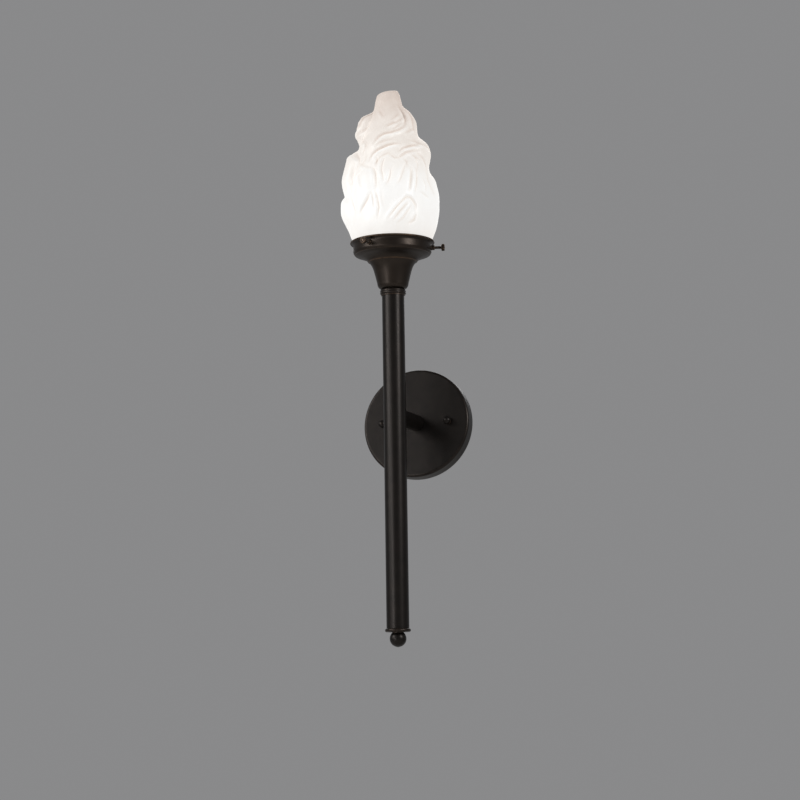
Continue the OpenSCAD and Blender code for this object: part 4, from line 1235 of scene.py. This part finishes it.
@dataclass
class FlameShade:
    """The frosted glass flame, carved finely over the frame's plainer one.

    Attributes:
        z_rim: height of the cup's rim above the arm's centre line.
        height: height of the flame above the rim.
        wall: wall of the glass.
        lip_r: radius of the fitter lip.
        groove_r: radius of the neck in the screws' groove.
        neck_len: length of the neck below the rim.
        turn: turn of the tongues about the torch.
        sides: facets round the glass.
        rings: facets up the glass.
        soft: reach of the easing of the tongues' edges.
        crown: rings of the closed top, as (share of the radius, share of the height, sideways shift).
        crown_turn: azimuth that the top leans to.
        swing: how far the glass swings the other way below its top.
        swing_from: height where that starts.
        swing_reach: height that it takes.
        body_share: share of the height that the carved body takes.
        hollow_share: share of the height up to which the glass is hollow.
        foot_ease: height over which the relief rises out of the neck.
        mean_r: radius for which the facets' width is reckoned.
        core: the plain form, as (share of the height, radius).
        lamp_z: height of the lamp's bright middle above the rim.
        lamp_reach: reach of its light below and above that.
        glow_far: glow far from the lamp.
        glow_near: what the lamp adds near it.
        tip_loss: glow that the flame's tip lacks, a painted dimming of the lamp's light towards the top.
        tip_from: height where that starts.
        tip_reach: height that it takes.
        fold_glow: glow added for each millimetre that a fold stands out, and lost where it goes in: a painted
            highlight on the ridges and painted shade in the grooves.
        fold_glow_by_lamp: the same near the lamp, in addition.
        neck_glow: glow of the neck.
        tongues: the tongues.
        folds: the fold lines.
    """

    z_rim: float = 199.3
    height: float = 178.0
    wall: float = 3.0
    lip_r: float = 41.3
    groove_r: float = 39.8
    neck_len: float = 14.0
    turn: float = 19.0
    sides: int = 420
    rings: int = 380
    soft: float = 1.7
    crown: tuple[tuple[float, float, float], ...] = (
        (0.93, 0.25, -1.7), (0.80, 0.50, -0.7), (0.62, 0.72, 1.0), (0.30, 0.92, 4.8), (0.05, 0.9999, 7.3))
    crown_turn: float = 85.0
    swing: float = 2.2
    swing_from: float = 140.0
    swing_reach: float = 25.0
    body_share: float = 0.965
    hollow_share: float = 0.955
    foot_ease: float = 16.0
    mean_r: float = 46.0
    core: tuple[tuple[float, float], ...] = (
        (0.00, 44.3), (0.04, 47.8), (0.10, 50.2), (0.20, 51.0), (0.30, 50.4), (0.40, 47.0), (0.50, 42.2),
        (0.60, 37.2), (0.70, 31.2), (0.79, 25.0), (0.85, 19.2), (0.885, 16.2), (0.93, 15.2), (0.97, 12.8))
    lamp_z: float = 46.0
    lamp_reach: tuple[float, float] = (70.0, 42.0)
    glow_far: float = 0.60
    glow_near: float = 0.36
    tip_loss: float = 0.24
    tip_from: float = 120.0
    tip_reach: float = 55.0
    fold_glow: float = 0.15
    fold_glow_by_lamp: float = 0.06
    neck_glow: float = 0.45
    tongues: tuple[Tongue, ...] = field(default_factory=lambda: tuple(Tongue(*t) for t in (
        (-88, 55.5, 20, 46, 7.6, 0.1), (-92, 109, 21, 70, 11.4, 0.15), (-97, 153.5, 14, 46, 12.6, 0.3),
        (82, 158.5, 15, 36, 4.8, 0.2), (90, 123, 26, 40, 7.8, 0.2), (90, 79.5, 24, 80, 3.8, 0.1),
        (-38, 80, 16, 62, 4, 0.1), (26, 92, 17, 66, 3.4, 0.25), (18, 42, 15, 44, 3, 0.6),
        (-8, 60, 13, 60, 2.4, 0.3), (-20, 132, 26, 44, 3, 0.9), (30, 112, 24, 38, 2.4, 0.8),
        (140, 66, 24, 66, 8, 0.2), (-140, 84, 25, 80, 7, 0.2), (165, 112, 24, 62, 9, 0.3),
        (-150, 138, 20, 48, 8, 0.3), (150, 150, 15, 42, 6, 0.3), (-170, 46, 20, 46, 5, 0.3))))
    folds: tuple[Fold, ...] = (
        Fold(((-30, 108.1), (-26, 111.7), (-21, 115.4), (-13, 118.4), (0, 120.6), (16, 124), (30, 128.6),
              (38, 133.1)), 1.7, 1.7, 1.3),
        Fold(((-10, 129.4), (0, 131.3), (10, 135)), 0.7, 1.4, 0.4),
        Fold(((4, 124.7), (16, 129.4), (28, 135)), 0.8, 1.4, 0.4),
        Fold(((-26, 104.4), (-19, 107.3), (-9, 109.8), (4, 112.2)), 0.9, 1.4, 0.6),
        Fold(((-36, 87.7), (-30, 95.1), (-22, 99), (-14, 101.4), (-5, 104.1), (6, 105.9), (16, 106.1)),
             1.9, 1.6, 1.6),
        Fold(((12, 95.6), (19, 100), (32, 103.7), (50, 107.6), (60, 110.5)), 1.5, 1.5, 1.2),
        Fold(((10, 87.5), (16, 90.7), (22, 94.6), (31, 97), (48, 101.2)), 1.5, 1.6, 0.6),
        Fold(((-16, 91.2), (-8, 92.9), (0, 94.8)), 0.8, 1.5, 0.5),
        Fold(((-46, 99), (-44, 90.9), (-49, 85.5), (-58, 82)), 0.6, 2.0, 0.0),
        Fold(((-27, 79), (-22, 69.4), (-21, 60.5), (-20, 50)), 1.5, 1.6, 0.6),
        Fold(((-20, 48), (-17, 38.7), (-16, 28.7), (-18, 18)), 1.7, 1.6, 0.6),
        Fold(((-13, 83), (-14, 73.5), (-12, 67.4), (-10, 59)), 1.3, 1.4, 0.5),
        Fold(((0, 75), (-2, 65.4), (-6, 55)), 1.4, 1.5, 0.5),
        Fold(((20, 82), (15, 70.1), (12, 62.5), (7, 55)), 1.2, 1.5, 0.4),
        Fold(((28, 76), (26, 64.9), (24, 55.9), (23, 47.5)), 1.7, 1.6, 0.6),
        Fold(((36, 78), (36, 66.7), (34, 57.6), (31, 47)), 1.5, 1.5, 0.5),
        Fold(((-22, 91), (-22, 80)), 1.0, 1.4, 0.3),
        Fold(((-27, 46.6), (-32, 39.2), (-38, 32.8), (-45, 25)), 1.8, 1.6, 0.8),
        Fold(((-25, 47.8), (-23, 38), (-22, 29.4)), 1.2, 1.4, 0.3),
        Fold(((-66, 50), (-56, 36), (-53, 26)), 1.2, 1.9, 0.4),
        Fold(((13, 36), (19, 40.9), (24, 40.9), (28, 38), (32, 33.1), (32, 25)), 1.6, 1.6, 0.0),
        Fold(((19, 42), (12, 35.3), (6, 29.2), (0, 22.1), (-5, 16)), 1.7, 1.35, 0.8),
        Fold(((21, 36), (14, 28.7), (8, 22.1), (2, 14.5)), 1.7, 1.35, 0.8),
        Fold(((25, 31), (18, 22.8), (14, 17.2), (7, 11)), 1.3, 1.3, 0.7),
        Fold(((33, 23), (30, 15.9), (22, 11)), 1.5, 1.4, 0.0),
        Fold(((40, 49.5), (48, 46.8), (56, 44)), 0.8, 1.6, 0.3),
        Fold(((-71, 86), (-71, 71.6), (-65, 55)), 1.0, 2.2, 0.0),
        Fold(((-40, 152), (-28, 146.3), (-18, 141)), 0.8, 1.6, 0.4),
        Fold(((42, 158), (42, 146.5), (39, 134)), 1.0, 1.6, 0.5),
        Fold(((62, 150), (60, 135), (60, 122)), 0.9, 1.7, 0.4),
        Fold(((46, 98), (58, 91.6), (65, 85.5), (64, 76)), 1.1, 1.8, 0.4),
        Fold(((-57, 87), (-46, 83), (-38, 79.9), (-25, 76)), 0.5, 1.7, 0.5),
        Fold(((-94, 124), (-70, 117), (-48, 110.8), (-42, 103)), 0.6, 2.0, 0.4),
        Fold(((-7, 91.9), (-16, 89.7), (-22, 85.8), (-24, 80.4)), 0.9, 1.2, 0.4),
        Fold(((-10, 88), (-12, 83.6), (-15, 77.4)), 0.8, 1.2, 0.3),
        Fold(((-4, 92.9), (2, 89.7), (6, 87.5), (11, 88.2)), 1.0, 1.3, 0.4),
        Fold(((19, 86.7), (22, 82.6), (22, 75.5)), 1.0, 1.3, 0.3),
        Fold(((40, 89), (43, 83.6), (38, 74.5)), 0.8, 1.4, 0.3),
        Fold(((-12, 126.4), (0, 130.9), (12, 133.5), (26, 137.7), (41, 143.1)), 0.8, 1.3, 0.5),
        Fold(((0, 136.7), (14, 141.1), (28, 146.8)), 0.7, 1.3, 0.5),
        Fold(((44, 149.5), (42, 139.4), (34, 131.3)), 0.8, 1.4, 0.4),
        Fold(((-44, 109.8), (-49, 103.2), (-53, 97.8)), 0.9, 1.5, 0.4),
        Fold(((32, 121.1), (48, 126), (64, 129.4)), 0.9, 1.4, 0.5),
        Fold(((32, 112.7), (45, 111.5), (58, 112)), 0.8, 1.4, 0.4),
        Fold(((-50, 76.5), (-46, 68.4), (-42, 59.1), (-37, 52.4)), 0.6, 1.5, 0.4),
        Fold(((32, 94.1), (40, 90.4), (54, 89.7)), 0.8, 1.4, 0.4),
        Fold(((48, 66.2), (52, 57.8), (50, 50)), 0.7, 1.5, 0.4),
        Fold(((-12, 47.1), (-12, 38.5), (-10, 29.2)), 0.5, 1.5, 0.5))

    def build(self, places: Places, paints: Paintbox) -> None:
        """Makes and finishes the shade.

        Args:
            places: where the axes stand.
            paints: the finishes.
        """
        made = self.carved(places.torch(self.z_rim))
        paints.piece(made, Paint.SATIN_GLASS, "flame_shade")

    @property
    def top(self) -> float:
        """Height of the carved body's last ring."""
        return self.body_share * self.height

    def plain(self, z: np.ndarray) -> np.ndarray:
        """Returns the radius of the plain form at heights z, eased between its stated points."""
        shares, radii = np.array(self.core).T
        fine = np.linspace(0, shares[-1], 200)
        eased = np.interp(fine, shares, radii)
        pad = np.concatenate([np.full(6, eased[0]), eased, np.full(6, eased[-1])])
        eased = np.convolve(pad, np.ones(13) / 13, "valid")
        return np.interp(np.clip(z / self.height, 0, shares[-1]), fine, eased)

    def sway(self, z: float) -> float:
        """Returns how far the glass swings aside at a height, along crown_turn."""
        return float(-self.swing * self.ease((z - self.swing_from) / self.swing_reach))

    @staticmethod
    def ease(v: np.ndarray) -> np.ndarray:
        """Returns a smooth step from 0 to 1."""
        t = np.clip(v, 0, 1)
        return t * t * (3 - 2 * t)

    @staticmethod
    def bulge(v: np.ndarray) -> np.ndarray:
        """Returns a quarter of a sine from 0 to 1: steep at first, then level."""
        return np.sin(np.radians(90 * np.clip(v, 0, 1)))

    def tongue(self, t: Tongue, a: np.ndarray, z: np.ndarray) -> np.ndarray:
        """Returns how far one tongue stands out.

        Args:
            t: the tongue.
            a: azimuths in degrees.
            z: heights above the rim.
        """
        down = t.tip - z
        across = ((a - t.azimuth + t.sweep * down + 180) % 360 - 180) * self.plain(z) * math.pi / 180
        width = np.maximum(t.half_width * self.bulge(down / (0.9 * t.half_width)), 1e-6)
        side = np.maximum(0, 1 - (across / width) ** 2)
        rise = self.bulge(down / (0.5 * t.half_width))
        fade = 1 - self.ease((down - 0.45 * t.length) / (0.55 * t.length))
        return np.where((down <= 0) | (down >= t.length), 0, t.height * rise * fade * side ** 0.7)

    def fold(self, f: Fold, a: np.ndarray, z: np.ndarray) -> np.ndarray:
        """Returns the relief of one fold line: a groove, and a ridge on its lower side.

        Args:
            f: the fold.
            a: azimuths in degrees.
            z: heights above the rim.
        """
        scale = math.pi / 180 * self.plain(z)
        best = np.full(a.shape, 1e9)
        signed = np.zeros(a.shape)
        share = np.zeros(a.shape)
        pieces = list(zip(f.line, f.line[1:]))
        for i, ((a0, z0), (a1, z1)) in enumerate(pieces):
            px, pz = ((a - a0 + 180) % 360 - 180) * scale, z - z0
            dx, dz = (a1 - a0) * scale, z1 - z0
            t = np.clip((px * dx + pz * dz) / (dx * dx + dz * dz + 1e-9), 0, 1)
            ex, ez = px - t * dx, pz - t * dz
            dist = np.hypot(ex, ez)
            nearer = dist < best
            best = np.where(nearer, dist, best)
            signed = np.where(nearer, -np.sign(dx * ez - dz * ex) * dist, signed)
            share = np.where(nearer, (i + t) / len(pieces), share)
        taper = np.sin(np.pi * np.clip(share, 0.02, 0.98)) ** 0.6
        groove = -f.depth * np.exp(-((best / f.width) ** 2))
        ridge = f.ridge * np.exp(-(((signed - 2.1 * f.width) / (1.1 * f.width)) ** 2))
        return (groove + ridge) * taper

    def all_folds(self) -> list[Fold]:
        """Returns the fold lines of the front, and the same again, turned and shifted, round the back."""
        copies = list(self.folds)
        for spin, lift in ((132.0, -7.0), (236.0, 5.0)):
            copies += [Fold(tuple((x + spin, z + lift) for x, z in f.line), f.depth, f.width, f.ridge)
                       for f in self.folds[::2]]
        return copies

    def blur(self, relief: np.ndarray, reach: float) -> np.ndarray:
        """Returns the relief with its steps eased, as softened glass would have them.

        Args:
            relief: relief of each point of the body.
            reach: reach of the easing in millimetres.
        """
        for axis, step in ((0, self.top / self.rings), (1, 2 * math.pi * self.mean_r / self.sides)):
            half = max(1, round(2.5 * reach / step))
            weights = np.exp(-0.5 * (np.arange(-half, half + 1) * step / reach) ** 2)
            weights /= weights.sum()
            pad = [(half, half) if k == axis else (0, 0) for k in (0, 1)]
            wide = np.pad(relief, pad, mode="edge" if axis == 0 else "wrap")
            rows = np.arange(relief.shape[axis])
            relief = sum(w * np.take(wide, rows + i, axis) for i, w in enumerate(weights))
        return relief

    def carved(self, place: Matrix) -> bpy.types.Object:
        """Makes the shade, with its glow painted on it.

        Args:
            place: the frame of the rim, on the torch's axis.
        """
        turns = np.arange(self.sides) * 360 / self.sides
        heights = np.linspace(0, self.top, self.rings)
        a, z = np.meshgrid((turns + 90 - self.turn + 180) % 360 - 180, heights)
        raised = self.blur(np.stack([self.tongue(t, a, z) for t in self.tongues]).max(axis=0), self.soft)
        pressed = sum(self.fold(f, a, z) for f in self.all_folds())
        radius = self.plain(z) + self.ease(z / self.foot_ease) * (raised + pressed)
        body = [Row(r, height, light, self.sway(height))
                for r, height, light in zip(radius, heights, self.glow(z, pressed))]
        outside = [*self.neck_rows(), *body, *self.crown_rows(body[-1])]
        return self.assemble(place, turns, outside, self.inside_rows())

    def glow(self, z: np.ndarray, pressed: np.ndarray) -> np.ndarray:
        """Returns how brightly each point of the body glows.

        Args:
            z: heights above the rim.
            pressed: relief of the folds.
        """
        below, above = self.lamp_reach
        # Painted light of the lamp: brightest at its height, dimmer below and above it, and dimmer still
        # towards the tip.
        lamp = np.exp(-(((z - self.lamp_z) / np.where(z < self.lamp_z, below, above)) ** 2))
        tip = self.tip_loss * self.ease((z - self.tip_from) / self.tip_reach)
        # Painted highlight on the folds' ridges and painted shade in their grooves, stronger near the lamp.
        folds = (self.fold_glow + self.fold_glow_by_lamp * lamp) * pressed
        return np.clip(self.glow_far + self.glow_near * lamp - tip + folds, 0, 1)

    def round_row(self, r: float, z: float, light: float) -> Row:
        """Returns a round ring.

        Args:
            r: its radius.
            z: its height.
            light: its glow.
        """
        return Row(np.full(self.sides, r), z, np.full(self.sides, light), self.sway(z))

    def neck_rows(self) -> list[Row]:
        """Returns the rings of the neck, from the fitter lip up to the rim."""
        low, lip, groove = -self.neck_len, self.lip_r, self.groove_r
        outline = (
            (lip - 0.6, low), (lip - 0.18, low + 0.18), (lip, low + 0.6), (lip, low + 2.4),
            (lip - 0.3, low + 2.8), (groove + 0.2, low + 3.1), (groove, low + 3.4), (groove, -3.4),
            (groove + 0.6, -2.4), (groove + 2, -1.5))
        return [self.round_row(r, z, self.neck_glow) for r, z in outline]

    def crown_rows(self, last: Row) -> list[Row]:
        """Returns the rings that close the top.

        Args:
            last: the body's last ring.
        """
        crown = [(1, 0, last.aside), *self.crown]
        leans = [b for b, _ in flowing([(b, b) for _, _, b in crown], 4)][1:]
        shares = flowing([(share, rise) for share, rise, _ in crown], 4)[1:]
        return [Row(last.radius * share, self.top + (self.height - self.top) * rise, last.glow, lean)
                for (share, rise), lean in zip(shares, leans)]

    def inside_rows(self) -> list[Row]:
        """Returns the rings of the inside, from its top down to the neck's foot."""
        rows, top = [], self.hollow_share * self.height - self.wall
        for z in np.linspace(top, 0, 60):
            here, above = (float(self.plain(np.array(h))) for h in (z, z + self.wall))
            r = min(here, above + 0.2 * self.wall) - self.wall
            dome = math.sqrt(min(1.0, 0.08 + (top - z) / 12))
            rows.append(self.round_row(max(2.0, r * dome), z, 0.6))
        neck_r = self.groove_r - self.wall
        rows.append(self.round_row(neck_r, -3.4, 0.5))
        return [*rows, self.round_row(neck_r, -self.neck_len, self.neck_glow)]

    def assemble(self, place: Matrix, turns: np.ndarray, outside: list[Row],
                 inside: list[Row]) -> bpy.types.Object:
        """Joins the rings into one closed glass.

        Args:
            place: the frame of the rim.
            turns: azimuth of each facet's edge about the torch, in degrees.
            outside: the rings of the outside, upwards.
            inside: the rings of the inside, downwards.
        """
        cos, sin = np.cos(np.radians(turns)), np.sin(np.radians(turns))
        lean = math.radians(self.crown_turn - 90 + self.turn)
        rows, n, faces = [*outside, *inside], self.sides, []
        points = np.concatenate([np.stack([
            row.radius * cos + row.aside * math.cos(lean), row.radius * sin + row.aside * math.sin(lean),
            np.full(n, row.z)], -1) for row in rows])
        for i in range(len(rows)):
            j = (i + 1) % len(rows)
            if i == len(outside) - 1:
                faces += [tuple(i * n + k for k in range(n)), tuple(j * n + k for k in reversed(range(n)))]
                continue
            faces += [(i * n + k, i * n + (k + 1) % n, j * n + (k + 1) % n, j * n + k) for k in range(n)]
        data = bpy.data.meshes.new("flame_shade_carved")
        data.from_pydata(points.tolist(), [], faces)
        data.transform(place)
        data.polygons.foreach_set("use_smooth", [True] * len(data.polygons))
        painted = data.attributes.new("glow", "FLOAT", "POINT")
        painted.data.foreach_set("value", np.concatenate([row.glow for row in rows]).astype(np.float32))
        piece = bpy.data.objects.new("flame_shade_carved", data)
        bpy.context.scene.collection.objects.link(piece)
        return piece


# --------------------------------------------------------------------------------------- the studio


@dataclass
class Studio:
    """The camera, the lights and the floor.

    Attributes:
        eye: the camera's place in metres.
        yaw: turn of the view to the left, in degrees.
        pitch: tilt of the view upwards.
        roll: roll of the view.
        image_px: width of the image in pixels.
        focal_px: focal length in the same pixels.
        floor_z: height of the floor.
        aim: the point that the lights are turned to, in metres.
        surround: colour of the surround.
        surround_power: brightness of the surround.
        lamps: name, place in metres, size in metres and power in watts of each light.
    """

    eye: tuple[float, float, float] = (0.74677, -2.20081, -0.55007)
    yaw: float = 19.34348
    pitch: float = 14.04131
    roll: float = 1.21470
    image_px: int = 800
    focal_px: float = 2042.134
    floor_z: float = -0.95
    aim: tuple[float, float, float] = (0.0, -0.08, 0.05)
    surround: tuple[float, float, float] = (0.60, 0.60, 0.61)
    surround_power: float = 0.42
    lamps: tuple[tuple[str, tuple[float, float, float], float, float], ...] = (
        ("key", (-1.7, -1.65, 0.62), 1.2, 34.0), ("fill", (2.15, -1.05, 0.75), 0.6, 32.0),
        ("low", (-1.0, -2.3, -0.4), 0.6, 12.0), ("back", (-0.5, 1.6, 1.4), 1.4, 10.0))

    def build(self) -> None:
        """Sets up the scene's camera, lights, world and floor."""
        self.camera()
        self.lights()
        self.floor()

    def camera(self) -> None:
        """Makes the camera at the photograph's angle."""
        yaw, pitch, roll = (math.radians(v) for v in (self.yaw, self.pitch, self.roll))
        ahead = Vector((-math.sin(yaw) * math.cos(pitch), math.cos(yaw) * math.cos(pitch), math.sin(pitch)))
        right = Vector((math.cos(yaw), math.sin(yaw), 0))
        up = right.cross(ahead)
        side = math.cos(roll) * right + math.sin(roll) * up
        top = math.cos(roll) * up - math.sin(roll) * right
        lens = bpy.data.cameras.new("camera")
        lens.sensor_width = 36.0
        lens.lens = self.focal_px / self.image_px * lens.sensor_width
        lens.clip_start, lens.clip_end = 0.05, 50
        camera = bpy.data.objects.new("camera", lens)
        turned = Matrix((side, top, -ahead)).transposed().to_4x4()
        camera.matrix_world = Matrix.Translation(self.eye) @ turned
        bpy.context.scene.collection.objects.link(camera)
        bpy.context.scene.camera = camera

    def lights(self) -> None:
        """Makes four soft lights and an even pale surround."""
        world = bpy.data.worlds.new("surround")
        world.use_nodes = True
        sockets = world.node_tree.nodes["Background"].inputs
        sockets["Color"].default_value = (*self.surround, 1)
        sockets["Strength"].default_value = self.surround_power
        bpy.context.scene.world = world
        bpy.context.scene.view_settings.view_transform = "Standard"
        for name, where, size, power in self.lamps:
            lamp = bpy.data.lights.new(name, "AREA")
            lamp.size = size
            lamp.energy = power
            made = bpy.data.objects.new(name, lamp)
            turned = (Vector(self.aim) - Vector(where)).to_track_quat("-Z", "Y").to_matrix().to_4x4()
            made.matrix_world = Matrix.Translation(where) @ turned
            bpy.context.scene.collection.objects.link(made)

    def floor(self) -> None:
        """Makes a plain pale floor under the sconce."""
        bm = bmesh.new()
        bmesh.ops.create_grid(bm, x_segments=1, y_segments=1, size=6.0)
        slab = mesh_object("floor", bm, Matrix.Translation((0, 0, self.floor_z)))
        pale = Finish("pale_floor", "floor", (0.72, 0.71, 0.69), (0.75, 0.74, 0.72), 0.7, 0.0, 60.0, 0.02)
        slab.data.materials.append(pale.make())


def main() -> None:
    """Builds the sconce on its frame and the studio round it."""
    logging.basicConfig(level=logging.INFO, format="%(name)s: %(message)s")
    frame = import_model()
    places, paints = Places(), Paintbox(frame)
    for assembly in (WallPlate(), Torch(), ShadeHolder(), Lamp(), Wiring(), FlameShade()):
        assembly.build(places, paints)
    Studio().build()


if __name__ == "__main__":
    main()
